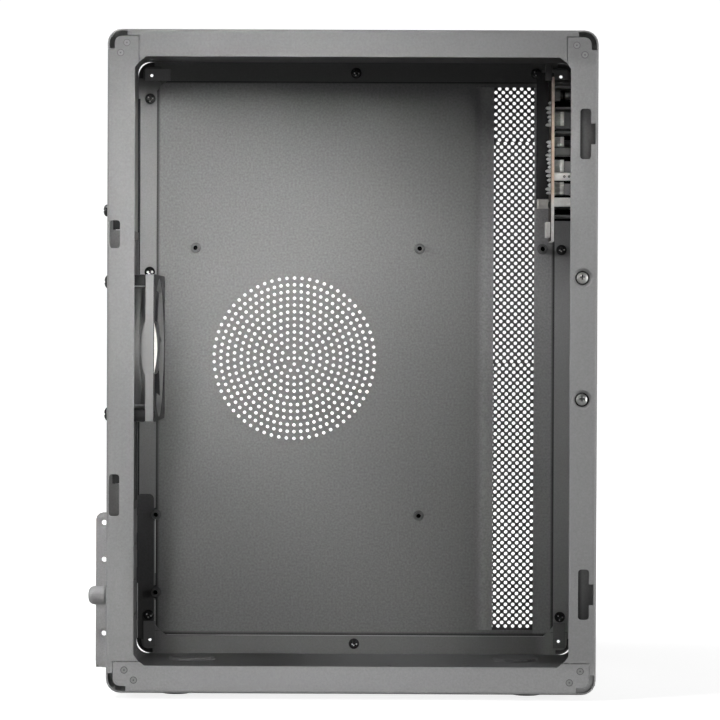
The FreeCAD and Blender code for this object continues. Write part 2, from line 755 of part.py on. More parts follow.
def make_port_plate():
    """Blank plate that closes the port opening, its middle pressed out flush with the wall."""
    low, high = port_opening()
    grow, fit = PORT_PLATE_MARGIN, PORT_PLATE_FIT
    inside = REAR + SHEET
    rim = block((inside, low[0] - grow, low[1] - grow),
                (inside + PORT_PLATE_SHEET, high[0] + grow, high[1] + grow))
    panel = block((REAR, low[0] + fit, low[1] + fit), (inside, high[0] - fit, high[1] - fit))
    hollow = block((REAR + PORT_PLATE_SHEET, low[0] + 2 * grow, low[1] + 2 * grow),
                   (inside + CUT, high[0] - 2 * grow, high[1] - 2 * grow))
    return fuse(rim, panel).cut(hollow)


def make_standoffs():
    """Threaded posts that carry the board, each with a shank pressed into the tray."""
    posts = []
    for x, z in standoff_spots():
        spot = (x, TRAY - STANDOFF_HEIGHT, z)
        body = post("y", STANDOFF_RADIUS, spot, STANDOFF_HEIGHT, STANDOFF_SIDES)
        shank = post("y", STANDOFF_SHANK, (x, TRAY, z), TRAY_SHEET, STANDOFF_SIDES)
        bore = rod("y", STANDOFF_BORE, spot, STANDOFF_HEIGHT + TRAY_SHEET)
        posts.append(fuse(body, shank).cut(bore))
    return Part.makeCompound(posts)


def fan_plate(x0, x1):
    """Square flange of the fan, with rounded corners."""
    half = FAN_SIDE / 2
    return rounded("x", (x0, FAN_Y - half, FAN_Z - half), (x1, FAN_Y + half, FAN_Z + half),
                   FAN_CORNER_RADIUS, SMALL_STEPS)


def make_fan_gasket():
    """Soft square ring between the rear wall and the fan."""
    start = FAN_WALL - FAN_GASKET
    holes = [post("x", FAN_BORE, (start, FAN_Y, FAN_Z), FAN_GASKET, FAN_DUCT_SIDES)]
    holes += [post("x", FAN_HOLE_RADIUS, (start, y, z), FAN_GASKET, SCREW_SIDES)
              for y, z in fan_hole_spots()]
    return cut(fan_plate(start, FAN_WALL), holes)


def make_fan_frame():
    """Fan housing: two flanges, the duct between them, struts, motor base and bearing tube."""
    half = FAN_SIDE / 2
    axis = (FAN_WALL, FAN_Y, FAN_Z)
    rear = fan_plate(FAN_WALL, FAN_WALL + FAN_REAR_FLANGE)
    inner = fan_plate(FAN_FACE - FAN_INNER_FLANGE, FAN_FACE)
    duct = post("x", half, axis, FAN_THICKNESS, FAN_DUCT_SIDES)
    edge = half - FAN_POST
    posts = []
    for i, j in CORNERS:
        y = (FAN_Y + i * edge, FAN_Y + i * half)
        z = (FAN_Z + j * edge, FAN_Z + j * half)
        posts.append(block((FAN_WALL + FAN_REAR_FLANGE, min(y), min(z)),
                           (FAN_FACE - FAN_INNER_FLANGE, max(y), max(z))))
    body = fuse(rear, inner, duct, *posts)
    holes = [post("x", FAN_BORE, axis, FAN_THICKNESS, FAN_DUCT_SIDES)]
    holes += [post("x", FAN_HOLE_RADIUS, (FAN_WALL, y, z), FAN_THICKNESS, SCREW_SIDES)
              for y, z in fan_hole_spots()]
    body = cut(body, holes)
    base = post("x", FAN_BASE_RADIUS, axis, FAN_BASE_THICKNESS, FAN_HUB_SIDES)
    tube = post("x", FAN_TUBE_RADIUS, axis, FAN_TUBE_LENGTH, FAN_TUBE_SIDES)
    struts = []
    for k in range(FAN_STRUTS):
        strut = block((FAN_WALL, FAN_Y - FAN_STRUT / 2, FAN_Z),
                      (FAN_WALL + FAN_BASE_THICKNESS, FAN_Y + FAN_STRUT / 2, FAN_Z + FAN_BORE + SHEET))
        struts.append(strut.rotated(V(*axis), AXIS["x"], FAN_STRUT_TURN + 360 * k / FAN_STRUTS))
    body = fuse(body, base, tube, *struts)
    bore = rod("x", FAN_SHAFT_RADIUS + RUN_CLEARANCE, axis, FAN_THICKNESS)
    return body.cut(bore)


def make_blade(number, start, end):
    """One flat pitched blade that leans round the hub, trimmed at its tip."""
    pitch = math.radians(BLADE_PITCH)
    half = (end - start - 2 * ROTOR_GAP) / 2 / math.sin(pitch)
    tip = FAN_BORE - BLADE_TIP_GAP
    middle = (start + end) / 2
    root = HUB_RADIUS / 2
    points = []
    for along, side in ((-half, -1), (half, -1), (half, 1), (-half, 1)):
        thick = side * BLADE_THICKNESS / 2
        x = along * math.sin(pitch) + thick * math.cos(pitch)
        arc = along * math.cos(pitch) - thick * math.sin(pitch)
        points.append((middle + x, FAN_Y + arc, FAN_Z + root))
    blade = prism(points, (0, BLADE_LEAN, tip - root))
    blade = blade.rotated(V(start, FAN_Y, FAN_Z), AXIS["x"], 360 * number / BLADES)
    return blade.common(post("x", tip, (start, FAN_Y, FAN_Z), end - start, FAN_DUCT_SIDES))


def make_fan_rotor():
    """Hub cup with its shaft and swept blades."""
    start = FAN_WALL + FAN_BASE_THICKNESS + ROTOR_GAP
    end = FAN_FACE - ROTOR_GAP
    axis = (start, FAN_Y, FAN_Z)
    hub = post("x", HUB_RADIUS, axis, end - start, FAN_HUB_SIDES)
    body = fuse(hub, *[make_blade(k, start, end) for k in range(BLADES)])
    body = body.cut(post("x", HUB_RADIUS - HUB_WALL, axis, end - start - HUB_WALL, FAN_HUB_SIDES))
    shaft_start = FAN_WALL + FAN_BASE_THICKNESS / 2
    shaft = rod("x", FAN_SHAFT_RADIUS, (shaft_start, FAN_Y, FAN_Z), end - shaft_start)
    return fuse(body, shaft)


def make_slot_cover(height):
    """Blank for one card slot: strip inside the rear wall, screw tab folded out over the ledge."""
    x0 = REAR + SHEET
    x1 = x0 + SLOT_COVER_SHEET
    half = SLOT_COVER_WIDTH / 2
    end = LEDGE + SLOT_COVER_LENGTH
    fold = LEDGE - SLOT_COVER_SHEET
    strip = block((x0, fold, height - half), (x1, end - SLOT_TONGUE_LENGTH, height + half))
    tongue = block((x0, end - SLOT_TONGUE_LENGTH, height - SLOT_COVER_TONGUE / 2),
                   (x1, end, height + SLOT_COVER_TONGUE / 2))
    tab = block((REAR - LEDGE_REACH, fold, height - half), (x1, LEDGE, height + half))
    x = REAR - SLOT_SCREW_REACH
    z = height + SLOT_SCREW_OFFSET
    notch = post("y", SLOT_NOTCH_RADIUS, (x, LEDGE - CUT, z), 2 * CUT, SLOT_NOTCH_SIDES)
    mouth_cut = block((x - SLOT_NOTCH_RADIUS, LEDGE - CUT, z),
                      (x + SLOT_NOTCH_RADIUS, LEDGE + CUT, z + CUT))
    return cut(fuse(strip, tongue, tab), [notch, mouth_cut])


def make_retainer():
    """Angle plate over the card tabs, with one leg flat on the rear wall."""
    low, high = slot_ends()
    z0, z1 = low - RETAINER_LOW_MARGIN, high + RETAINER_MARGIN
    y1 = LEDGE - SLOT_COVER_SHEET
    y0 = y1 - SHEET
    reach = REAR - LEDGE_REACH
    plate = rounded("y", (reach, y0, z0), (REAR + RETAINER_RADIUS, y1, z1), RETAINER_RADIUS,
                    SMALL_STEPS)
    plate = plate.common(block((reach - CUT, y0, z0), (REAR, y1, z1)))
    leg = block((REAR - SHEET, LEDGE - RETAINER_LEG, z0), (REAR, y1, z1))
    body = fuse(plate, leg)
    x = REAR - SLOT_SCREW_REACH
    cuts = []
    for height in slot_heights():
        z = height + SLOT_SCREW_OFFSET
        cuts.append(post("y", RETAINER_HOLE_RADIUS, (x, y0 - CUT, z), 2 * CUT, RETAINER_RING_SIDES))
        cuts.append(post("y", RETAINER_RING, (x, y0 - CUT, z), CUT + RETAINER_RING_DEPTH,
                         RETAINER_RING_SIDES))
    y, z = knob_spot()
    cuts.append(rod("x", SCREW_RADIUS + RUN_CLEARANCE, (REAR - CUT, y, z), 2 * CUT))
    return cut(body, cuts)


def make_thumbscrew():
    """Thumbscrew with a grooved knob, a collar against the plate and a plain shank."""
    y, z = knob_spot()
    face = REAR - SHEET - KNOB_GAP
    collar = face - KNOB_COLLAR_LENGTH
    end = collar - KNOB_LENGTH
    radii = [KNOB_RADIUS, KNOB_RADIUS - KNOB_GRIP_DEPTH] * KNOB_GRIPS
    knob = prism(ring_points("x", radii, (end, y, z)), AXIS["x"] * KNOB_LENGTH)
    neck = post("x", KNOB_COLLAR_RADIUS, (collar, y, z), KNOB_COLLAR_LENGTH, KNOB_COLLAR_SIDES)
    shank = rod("x", SCREW_RADIUS, (face, y, z), REAR + KNOB_TIP - face)
    return fuse(knob, neck, shank)


def make_foot(x, y):
    """Rubber foot seated in a pressing of the floor."""
    top = BASE + PRESSING_RISE
    rings = ((0, FOOT_RADIUS - FOOT_TAPER), (FOOT_TAPER, FOOT_RADIUS), (top, FOOT_RADIUS))
    return stacked("z", (x, y, 0), rings, FOOT_SIDES)


def make_io_board():
    board = block((IO_REAR, IO_NEAR, IO_LOW), (IO_FACE, IO_FAR, IO_TOP))
    radius = IO_SCREW_RADIUS + SCREW_CLEARANCE
    holes = [post("x", radius, (IO_REAR - CUT, IO_Y, IO_TOP - drop), 2 * CUT, IO_POST_SIDES)
             for drop in IO_POST_DROPS]
    return cut(board, holes)


def make_io_frame():
    """Ribbed frame on the front wall: back plate, ribs between the ports, posts and side arm."""
    x0, x1 = FRONT_INSIDE - IO_FRAME_SHEET, FRONT_INSIDE
    low, high = IO_TOP - max(IO_RIB_DROPS) - IO_FRAME_MARGIN, IO_TOP
    far = IO_FAR + IO_ARM_GAP
    plate = block((x0, IO_NEAR, low), (x1, far + IO_FRAME_SHEET, high))
    half = IO_FRAME_SHEET / 2
    ribs = []
    for drop in IO_RIB_DROPS:
        z = IO_TOP - drop
        ribs.append(block((IO_FACE + IO_RIB_GAP, IO_NEAR, z - half), (x1, IO_FAR, z + half)))
    posts = [post("x", IO_POST_RADIUS, (IO_FACE, IO_Y, IO_TOP - drop), x1 - IO_FACE, IO_POST_SIDES)
             for drop in IO_POST_DROPS]
    arm_top = IO_TOP - IO_ARM_DROP
    arm = block((IO_REAR - IO_ARM_REACH, far, arm_top - IO_ARM_WIDTH),
                (x1, far + IO_FRAME_SHEET, arm_top))
    body = fuse(plate, *ribs, *posts, arm)
    bore = IO_SCREW_LENGTH + SHEET
    cuts = [post("x", IO_POST_BORE, (IO_FACE, IO_Y, IO_TOP - drop), bore, IO_POST_SIDES)
            for drop in IO_POST_DROPS]
    stem = BUTTON_FLANGE_RADIUS + BUTTON_FIT
    cuts.append(post("x", stem, (IO_FACE, IO_Y, SWITCH_Z), x1 - IO_FACE, BUTTON_SIDES))
    half_y, half_z = AUDIO_BLOCK[0] / 2 + PORT_FIT, AUDIO_BLOCK[1] / 2 + PORT_FIT
    cuts.append(block((IO_FACE, IO_Y - half_y, AUDIO_Z - half_z), (x1, IO_Y + half_y, AUDIO_Z + half_z)))
    span = x1 - IO_FACE
    cuts.append(port_cutter(USB_C_SIZE, USB_C_DROP, IO_FACE, span))
    cuts += [port_cutter(USB_SIZE, drop, IO_FACE, span) for drop in USB_DROPS]
    return cut(body, cuts)


def make_audio_jack():
    """Block on the board, with a round nose in the front wall and a bore for the plug."""
    half_y, half_z = AUDIO_BLOCK[0] / 2, AUDIO_BLOCK[1] / 2
    z = AUDIO_Z
    nose_end = FRONT_INSIDE + SHEET / 2
    block_end = nose_end - AUDIO_NOSE_LENGTH
    body = block((IO_FACE, IO_Y - half_y, z - half_z), (block_end, IO_Y + half_y, z + half_z))
    nose = post("x", AUDIO_NOSE_RADIUS, (block_end, IO_Y, z), AUDIO_NOSE_LENGTH, AUDIO_NOSE_SIDES)
    bore = post("x", AUDIO_BORE, (nose_end - AUDIO_BORE_DEPTH, IO_Y, z), AUDIO_BORE_DEPTH, AUDIO_NOSE_SIDES)
    return fuse(body, nose).cut(bore)


def make_usb_c_port():
    """Slim round-ended shell, open towards the front."""
    z = USB_C_Z
    half_y, half_z = USB_C_SIZE[0] / 2, USB_C_SIZE[1] / 2
    end = FRONT_INSIDE + SHEET / 2
    shell = rounded("x", (IO_FACE, IO_Y - half_y, z - half_z), (end, IO_Y + half_y, z + half_z),
                    half_z * USB_C_ROUND, SMALL_STEPS)
    inner_y, inner_z = half_y - USB_C_WALL, half_z - USB_C_WALL
    mouth_cut = rounded("x", (end - USB_DEPTH, IO_Y - inner_y, z - inner_z),
                        (end, IO_Y + inner_y, z + inner_z), inner_z * USB_C_ROUND, SMALL_STEPS)
    return shell.cut(mouth_cut)


def make_usb_port(drop):
    """Rectangular port shell, open towards the front."""
    z = IO_TOP - drop
    half_y, half_z = USB_SIZE[0] / 2, USB_SIZE[1] / 2
    end = FRONT_INSIDE + SHEET / 2
    shell = block((IO_FACE, IO_Y - half_y, z - half_z), (end, IO_Y + half_y, z + half_z))
    inner_y, inner_z = half_y - USB_WALL, half_z - USB_WALL
    hollow = block((end - USB_DEPTH, IO_Y - inner_y, z - inner_z), (end, IO_Y + inner_y, z + inner_z))
    return shell.cut(hollow)


def make_power_switch():
    half = SWITCH_SIDE / 2
    z = SWITCH_Z
    body = block((IO_FACE, IO_Y - half, z - half), (IO_FACE + SWITCH_DEPTH, IO_Y + half, z + half))
    plunger = post("x", PLUNGER_RADIUS, (IO_FACE + SWITCH_DEPTH, IO_Y, z), PLUNGER_LENGTH, BUTTON_SIDES)
    return fuse(body, plunger)


def make_power_button():
    """Round cap in the front wall, kept in by its flange, with a stem to the switch."""
    start = IO_FACE + SWITCH_DEPTH + PLUNGER_LENGTH + BUTTON_GAP + BUTTON_TRAVEL
    flange = FRONT_INSIDE - BUTTON_GAP
    end = FRONT + BUTTON_PROUD
    edge = BUTTON_PROUD / 2
    spot = (0, IO_Y, SWITCH_Z)
    stem = post("x", BUTTON_STEM_RADIUS, (start,) + spot[1:], flange - start, BUTTON_SIDES)
    collar = post("x", BUTTON_FLANGE_RADIUS, (flange - BUTTON_FLANGE,) + spot[1:], BUTTON_FLANGE,
                  BUTTON_SIDES)
    rings = ((flange, BUTTON_RADIUS), (end - edge, BUTTON_RADIUS), (end, BUTTON_RADIUS - edge))
    return fuse(stem, collar, stacked("x", spot, rings, BUTTON_SIDES))


def make_cable_connector():
    """White header on the rear face of the board."""
    depth, width, height = CONNECTOR_SIZE
    z = IO_TOP - CONNECTOR_DROP
    return block((IO_REAR - depth, IO_Y - width / 2, z - height / 2),
                 (IO_REAR, IO_Y + width / 2, z + height / 2))


def build():
    os.makedirs("parts", exist_ok=True)
    save("outer_shell", make_shell())
    save("motherboard_tray", make_tray())
    save("vent_strip", make_strip())
    save("standoffs", make_standoffs())
    save("port_plate", make_port_plate())
    save("fan_gasket", make_fan_gasket())
    save("fan_frame", make_fan_frame())
    save("fan_rotor", make_fan_rotor())
    for number, height in enumerate(slot_heights(), 1):
        save("slot_cover_%d" % number, make_slot_cover(height))
    save("slot_retainer", make_retainer())
    save("retainer_thumbscrew", make_thumbscrew())
    for number, (x, y) in enumerate(foot_spots(), 1):
        save("foot_%d" % number, make_foot(x, y))
    save("io_board", make_io_board())
    save("io_frame", make_io_frame())
    save("audio_jack", make_audio_jack())
    save("usb_c_port", make_usb_c_port())
    for name, drop in zip(("usb_port_upper", "usb_port_lower"), USB_DROPS):
        save(name, make_usb_port(drop))
    save("power_switch", make_power_switch())
    save("power_button", make_power_button())
    save("cable_connector", make_cable_connector())


build()
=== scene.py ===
# %% [markdown]
# # A micro-ATX case, seen into its open side
# The case is folded from thin steel and coated in grey powder. One side is open, so the picture
# is mostly sheet metal: bars, flanges, a far wall full of small holes, and a few screws.
# The solids come from the CAD frame. This lesson dresses them: it keeps the solids whose shape
# is right, and makes finer pieces for those that the camera would find too plain.

import math

import bmesh
import bpy
from mathutils import Matrix, Vector


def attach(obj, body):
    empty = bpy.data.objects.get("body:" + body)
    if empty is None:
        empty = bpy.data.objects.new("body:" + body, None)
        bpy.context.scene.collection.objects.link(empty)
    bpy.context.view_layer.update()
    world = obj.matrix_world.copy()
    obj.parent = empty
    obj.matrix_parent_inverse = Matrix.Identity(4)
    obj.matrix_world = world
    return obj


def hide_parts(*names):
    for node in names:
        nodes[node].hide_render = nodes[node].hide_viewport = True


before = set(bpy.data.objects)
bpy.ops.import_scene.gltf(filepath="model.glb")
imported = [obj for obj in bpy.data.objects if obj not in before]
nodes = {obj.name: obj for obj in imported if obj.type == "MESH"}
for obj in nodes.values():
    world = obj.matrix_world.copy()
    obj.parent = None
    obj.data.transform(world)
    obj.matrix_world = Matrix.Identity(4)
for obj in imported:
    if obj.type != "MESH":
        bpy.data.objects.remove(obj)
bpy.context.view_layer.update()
print("solids loaded:", len(nodes))

# %% [markdown]
# ## Small tools for making pieces
# Sizes on a computer case are known in millimetres, so every piece is drawn in millimetres and
# scaled down once, when its mesh is made. A part is a list of points and a list of faces.
# Turned parts (screws, posts, feet) come from a profile spun round an axis, as on a lathe. Small
# moulded or folded blocks are cubes whose edges are bevelled, so that they catch the light.

# %% Points, turned parts and blocks
MM = 0.001


def place(axis, spot, along, a, b):
    """Point that lies along an axis from a spot, and a, b across it."""
    offset = {"x": (along, a, b), "y": (a, along, b), "z": (a, b, along)}[axis]
    return tuple(s + o for s, o in zip(spot, offset))


def joined(*parts):
    """Several parts as one."""
    points, faces = [], []
    for more_points, more_faces in parts:
        start = len(points)
        points.extend(more_points)
        faces.extend(tuple(start + k for k in face) for face in more_faces)
    return points, faces


def turned(axis, spot, profile, sides=40, closed=False, ripple=None):
    """Part spun from (along, radius) pairs. A radius of zero closes an end."""
    points, rings = [], []
    for along, radius in profile:
        first = len(points)
        if radius == 0:
            points.append(place(axis, spot, along, 0, 0))
            rings.append([first] * sides)
            continue
        rings.append(range(first, first + sides))
        for k in range(sides):
            turn = 2 * math.pi * k / sides
            reach = radius * (ripple(k) if ripple else 1)
            points.append(place(axis, spot, along, reach * math.cos(turn), reach * math.sin(turn)))
    pairs = list(zip(rings, rings[1:]))
    if closed:
        pairs.append((rings[-1], rings[0]))
    faces = []
    for low, high in pairs:
        for k in range(sides):
            n = (k + 1) % sides
            face = tuple(dict.fromkeys((low[k], low[n], high[n], high[k])))
            if len(face) > 2:
                faces.append(face)
    return points, faces


def soft_block(low, high, edge=0.3, steps=2):
    """Block with rounded edges."""
    form = bmesh.new()
    bmesh.ops.create_cube(form, size=1)
    for vert in form.verts:
        vert.co = [(a + b) / 2 + c * (b - a) for a, b, c in zip(low, high, vert.co)]
    bmesh.ops.bevel(form, geom=list(form.edges), offset=edge, segments=steps, profile=0.5,
                    affect="EDGES")
    form.verts.index_update()
    points = [tuple(vert.co) for vert in form.verts]
    faces = [tuple(vert.index for vert in face.verts) for face in form.faces]
    form.free()
    return points, faces


print("tools ready: turned parts and soft blocks")

# %% [markdown]
# ## Flat sheets with holes
# A punched sheet could be cut with boolean modifiers, but hundreds of cuts are slow and leave poor
# faces. A filled 2D curve is quicker: Blender fills the sheet round all its holes by itself, and
# an extrusion gives the thickness.

# %% Flat sheets
def round_hole(a, b, radius, sides):
    """Ring of points for a hole."""
    turns = [2 * math.pi * k / sides for k in range(sides)]
    return [(a + radius * math.cos(turn), b + radius * math.sin(turn)) for turn in turns]


def round_plate(low, high, radius, steps=8):
    """Outline of a plate with rounded corners."""
    ring = []
    for number, (i, j) in enumerate(((1, 1), (-1, 1), (-1, -1), (1, -1))):
        a = (high[0] if i > 0 else low[0]) - i * radius
        b = (high[1] if j > 0 else low[1]) - j * radius
        for k in range(steps + 1):
            turn = math.pi / 2 * (number + k / steps)
            ring.append((a + radius * math.cos(turn), b + radius * math.sin(turn)))
    return ring


def pierced_sheet(axis, low, high, outer, holes):
    """Flat sheet across an axis, from low to high along it, with holes cut through."""
    line = bpy.data.curves.new("cutting_line", "CURVE")
    line.dimensions = "2D"
    line.fill_mode = "BOTH"
    line.extrude = (high - low) / 2
    for ring in [outer, *holes]:
        spline = line.splines.new("POLY")
        spline.points.add(len(ring) - 1)
        for point, (a, b) in zip(spline.points, ring):
            point.co = (a, b, 0, 1)
        spline.use_cyclic_u = True
    holder = bpy.data.objects.new("cutting_line", line)
    bpy.context.scene.collection.objects.link(holder)
    mesh = bpy.data.meshes.new_from_object(holder)
    middle = (low + high) / 2
    points = [place(axis, (0, 0, 0), middle + v.co.z, v.co.x, v.co.y) for v in mesh.vertices]
    faces = [tuple(face.vertices) for face in mesh.polygons]
    bpy.data.objects.remove(holder)
    bpy.data.curves.remove(line)
    bpy.data.meshes.remove(mesh)
    return points, faces


print("tools ready: sheets with holes")

# %% [markdown]
# ## From a part to a piece
# Every piece goes through one function. It welds the points, turns the faces outward, scales
# millimetres to metres, drops a face that a fill made twice, and shades the mesh smooth up to a
# sharp angle. It also says which body of the case carries the piece, and which solids the piece
# stands for.

# %% Piece maker
WELD = 0.001
SHARP_ANGLE = 30


def make_piece(name, part, material, body="case", stands_for=()):
    """Mesh in the scene from a part, riding on a body of the case."""
    points, faces = part
    mesh = bpy.data.meshes.new(name)
    mesh.from_pydata(points, [], faces)
    form = bmesh.new()
    form.from_mesh(mesh)
    bmesh.ops.remove_doubles(form, verts=form.verts, dist=WELD)
    bmesh.ops.recalc_face_normals(form, faces=form.faces)
    bmesh.ops.scale(form, vec=(MM, MM, MM), verts=form.verts)
    form.to_mesh(mesh)
    form.free()
    mesh.validate()
    mesh.shade_smooth()
    mesh.set_sharp_from_angle(angle=math.radians(SHARP_ANGLE))
    mesh.materials.append(material)
    piece = bpy.data.objects.new(name, mesh)
    bpy.context.scene.collection.objects.link(piece)
    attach(piece, body)
    if stands_for:
        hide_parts(*stands_for)
    print(name, "faces:", len(mesh.polygons))
    return piece


print("weld distance in millimetres:", WELD)

# %% [markdown]
# ## Camera
# The photograph looks straight into the case from far away with a long lens, so the far wall is
# only a little smaller than the near bars. The place and the small turns of the camera were
# fitted to the bars, standoffs, screws and holes.

# %% Camera
CAMERA_SPOT = (22.865, -1673.678, 195.9)
CAMERA_TURNS = {"Z": 0.0076144, "Y": -0.0040748, "X": -0.0104059 + math.pi / 2}
CAMERA_LENS, CAMERA_SENSOR = 149.72, 36

view = bpy.data.cameras.new("case_camera")
view.lens = CAMERA_LENS
view.sensor_width = CAMERA_SENSOR
camera = bpy.data.objects.new("case_camera", view)
turn = Matrix.Identity(4)
for axis in "ZYX":
    turn = turn @ Matrix.Rotation(CAMERA_TURNS[axis], 4, axis)
camera.matrix_world = Matrix.Translation(Vector(CAMERA_SPOT) * MM) @ turn
bpy.context.scene.collection.objects.link(camera)
bpy.context.scene.camera = camera
print("camera lens:", view.lens)

# %% [markdown]
# ## Backdrop
# A product picture has a white sweep behind the object. A plain white world would also light the
# inside of the case from all sides and wash it out. So the world asks the light path who looks: it
# is white to the camera and dim to the object.

# %% World
WORLD_BRIGHT, WORLD_DIM = 1.05, 0.015

scene = bpy.context.scene
scene.view_settings.view_transform = "Standard"

world = bpy.data.worlds.new("studio")
world.use_nodes = True
scene.world = world
tree = world.node_tree
tree.nodes.clear()
seen = tree.nodes.new("ShaderNodeLightPath")
bright = tree.nodes.new("ShaderNodeBackground")
bright.inputs["Strength"].default_value = WORLD_BRIGHT
dim = tree.nodes.new("ShaderNodeBackground")
dim.inputs["Strength"].default_value = WORLD_DIM
for background in (bright, dim):
    background.inputs["Color"].default_value = (1, 1, 1, 1)
chosen = tree.nodes.new("ShaderNodeMixShader")
out = tree.nodes.new("ShaderNodeOutputWorld")
tree.links.new(seen.outputs["Is Camera Ray"], chosen.inputs[0])
tree.links.new(dim.outputs[0], chosen.inputs[1])
tree.links.new(bright.outputs[0], chosen.inputs[2])
tree.links.new(chosen.outputs[0], out.inputs["Surface"])
print("world strengths:", WORLD_BRIGHT, WORLD_DIM)

# %% [markdown]
# ## Floor
# The floor is pale paper that takes a soft shadow and gives back a little light. Its glow for the
# camera grows with the distance from the case, so that the paper runs into the white backdrop
# without a line.

# %% Floor
PAPER_GREY = (0.3, 0.3, 0.3, 1)
GLOW = {"From Min": 0.2, "From Max": 0.8, "To Min": 0.84, "To Max": 1.05}
FLOOR_REACH, FLOOR_LEVEL = 9.0, -0.0002

paper = bpy.data.materials.new("studio_paper")
paper.use_nodes = True
tree = paper.node_tree
tree.nodes.clear()
seen = tree.nodes.new("ShaderNodeLightPath")
matt = tree.nodes.new("ShaderNodeBsdfDiffuse")
matt.inputs["Color"].default_value = PAPER_GREY
glow = tree.nodes.new("ShaderNodeEmission")
where = tree.nodes.new("ShaderNodeNewGeometry")
reach_out = tree.nodes.new("ShaderNodeVectorMath")
reach_out.operation = "LENGTH"
fade = tree.nodes.new("ShaderNodeMapRange")
for label, value in GLOW.items():
    fade.inputs[label].default_value = value
tree.links.new(where.outputs["Position"], reach_out.inputs[0])
tree.links.new(reach_out.outputs["Value"], fade.inputs["Value"])
tree.links.new(fade.outputs["Result"], glow.inputs["Strength"])
both = tree.nodes.new("ShaderNodeAddShader")
chosen = tree.nodes.new("ShaderNodeMixShader")
out = tree.nodes.new("ShaderNodeOutputMaterial")
tree.links.new(matt.outputs[0], both.inputs[0])
tree.links.new(glow.outputs[0], both.inputs[1])
tree.links.new(seen.outputs["Is Camera Ray"], chosen.inputs[0])
tree.links.new(matt.outputs[0], chosen.inputs[1])
tree.links.new(both.outputs[0], chosen.inputs[2])
tree.links.new(chosen.outputs[0], out.inputs["Surface"])

sheet = bpy.data.meshes.new("studio_floor")
corners = [(i * FLOOR_REACH, j * FLOOR_REACH, FLOOR_LEVEL) for i, j in ((-1, -1), (1, -1), (1, 1), (-1, 1))]
sheet.from_pydata(corners, [], [(0, 1, 2, 3)])
sheet.materials.append(paper)
floor = bpy.data.objects.new("studio_floor", sheet)
scene.collection.objects.link(floor)
print("floor reach in metres:", FLOOR_REACH)

# %% [markdown]
# ## Light
# Softboxes to the left and right graze the near bars, and a large one stands behind. The light
# inside comes from softboxes behind grids. Three narrow beams fall on the far wall, strongest at its
# upper left, and a small one on the port board. A lamp's spread angle does what the grid does.

# %% Softboxes
CASE_MIDDLE = Vector((0.0066, 0.0, 0.178))


def lamp_spot(turn, rise, reach=1.6):
    """Place round the case, from angles in degrees to the right of the camera and above it."""
    turn, rise = math.radians(turn), math.radians(rise)
    way = Vector((math.sin(turn) * math.cos(rise), -math.cos(turn) * math.cos(rise), math.sin(rise)))
    return CASE_MIDDLE + reach * way


def softbox(name, turn, rise, size, watts, aim=CASE_MIDDLE, beam=180, reach=1.6):
    """Square lamp turned to the case. A narrow beam is a softbox behind a grid."""
    lamp = bpy.data.lights.new(name, "AREA")
    lamp.size = size
    lamp.spread = math.radians(beam)
    lamp.energy = watts
    holder = bpy.data.objects.new(name, lamp)
    holder.location = lamp_spot(turn, rise, reach)
    holder.rotation_euler = (Vector(aim) - holder.location).to_track_quat("-Z", "Y").to_euler()
    scene.collection.objects.link(holder)
    print(name, "watts:", watts)
    return holder


softbox("left_box", -62, 18, 0.42, 11.3)
softbox("upper_left_box", -62, 58, 0.42, 18.9)
softbox("right_box", 56, 4, 0.42, 18.3)
softbox("back_box", 165, 40, 1.2, 8.0)
softbox("grid_upper_tray", 14, 7, 0.16, 0.112, (-0.10, 0.093, 0.26), 11)
softbox("grid_lower_tray", -5, 9, 0.30, 0.084, (-0.065, 0.093, 0.105), 9)
softbox("grid_middle_tray", -5, 9, 0.30, 0.030, (0.03, 0.093, 0.18), 11)
softbox("grid_ports", -6, 3, 0.03, 0.0016, (0.114, -0.04, 0.297), 4, 1.2)

# %% [markdown]
# ## Effects that several finishes share
# An effect that several finishes need is a node group, built once and placed in each material with
# its own values. The groups only put out colours, masks, heights and roughness; the shader stays
# in each material. First come a few helpers that add one node and wire it.

# %% Node helpers
def new_group(name, inputs, outputs):
    """Empty shader node group with named sockets."""
    group = bpy.data.node_groups.new(name, "ShaderNodeTree")
    for label, kind, value in inputs:
        socket = group.interface.new_socket(label, in_out="INPUT", socket_type=kind)
        socket.default_value = value
    for label, kind in outputs:
        group.interface.new_socket(label, in_out="OUTPUT", socket_type=kind)
    start = group.nodes.new("NodeGroupInput")
    end = group.nodes.new("NodeGroupOutput")
    return group, start, end


def math_node(tree, operation, first, second):
    """Math node fed by sockets or plain numbers."""
    node = tree.nodes.new("ShaderNodeMath")
    node.operation = operation
    for socket, value in zip(node.inputs, (first, second)):
        if isinstance(value, (int, float)):
            socket.default_value = value
        else:
            tree.links.new(value, socket)
    return node.outputs[0]


def spread(tree, value, low, high):
    """Map a 0 to 1 value onto a range."""
    node = tree.nodes.new("ShaderNodeMapRange")
    tree.links.new(value, node.inputs["Value"])
    for label, bound in (("To Min", low), ("To Max", high)):
        if isinstance(bound, (int, float)):
            node.inputs[label].default_value = bound
        else:
            tree.links.new(bound, node.inputs[label])
    return node.outputs["Result"]


def noise(tree, vector, scale, detail=2.0):
    """Noise of a size given per metre."""
    node = tree.nodes.new("ShaderNodeTexNoise")
    node.inputs["Detail"].default_value = detail
    tree.links.new(vector, node.inputs["Vector"])
    if isinstance(scale, (int, float)):
        node.inputs["Scale"].default_value = scale
    else:
        tree.links.new(scale, node.inputs["Scale"])
    return node.outputs["Fac"]


FLOAT, COLOUR = "NodeSocketFloat", "NodeSocketColor"
print("helpers ready: groups, math, ranges and noise")

# %% [markdown]
# ## Coat grain
# Powder coat is a baked-on paint that dries into a very fine orange-peel grain. Fine noise darkens
# and lightens the colour, and the same noise with a coarser one gives the height for a bump.

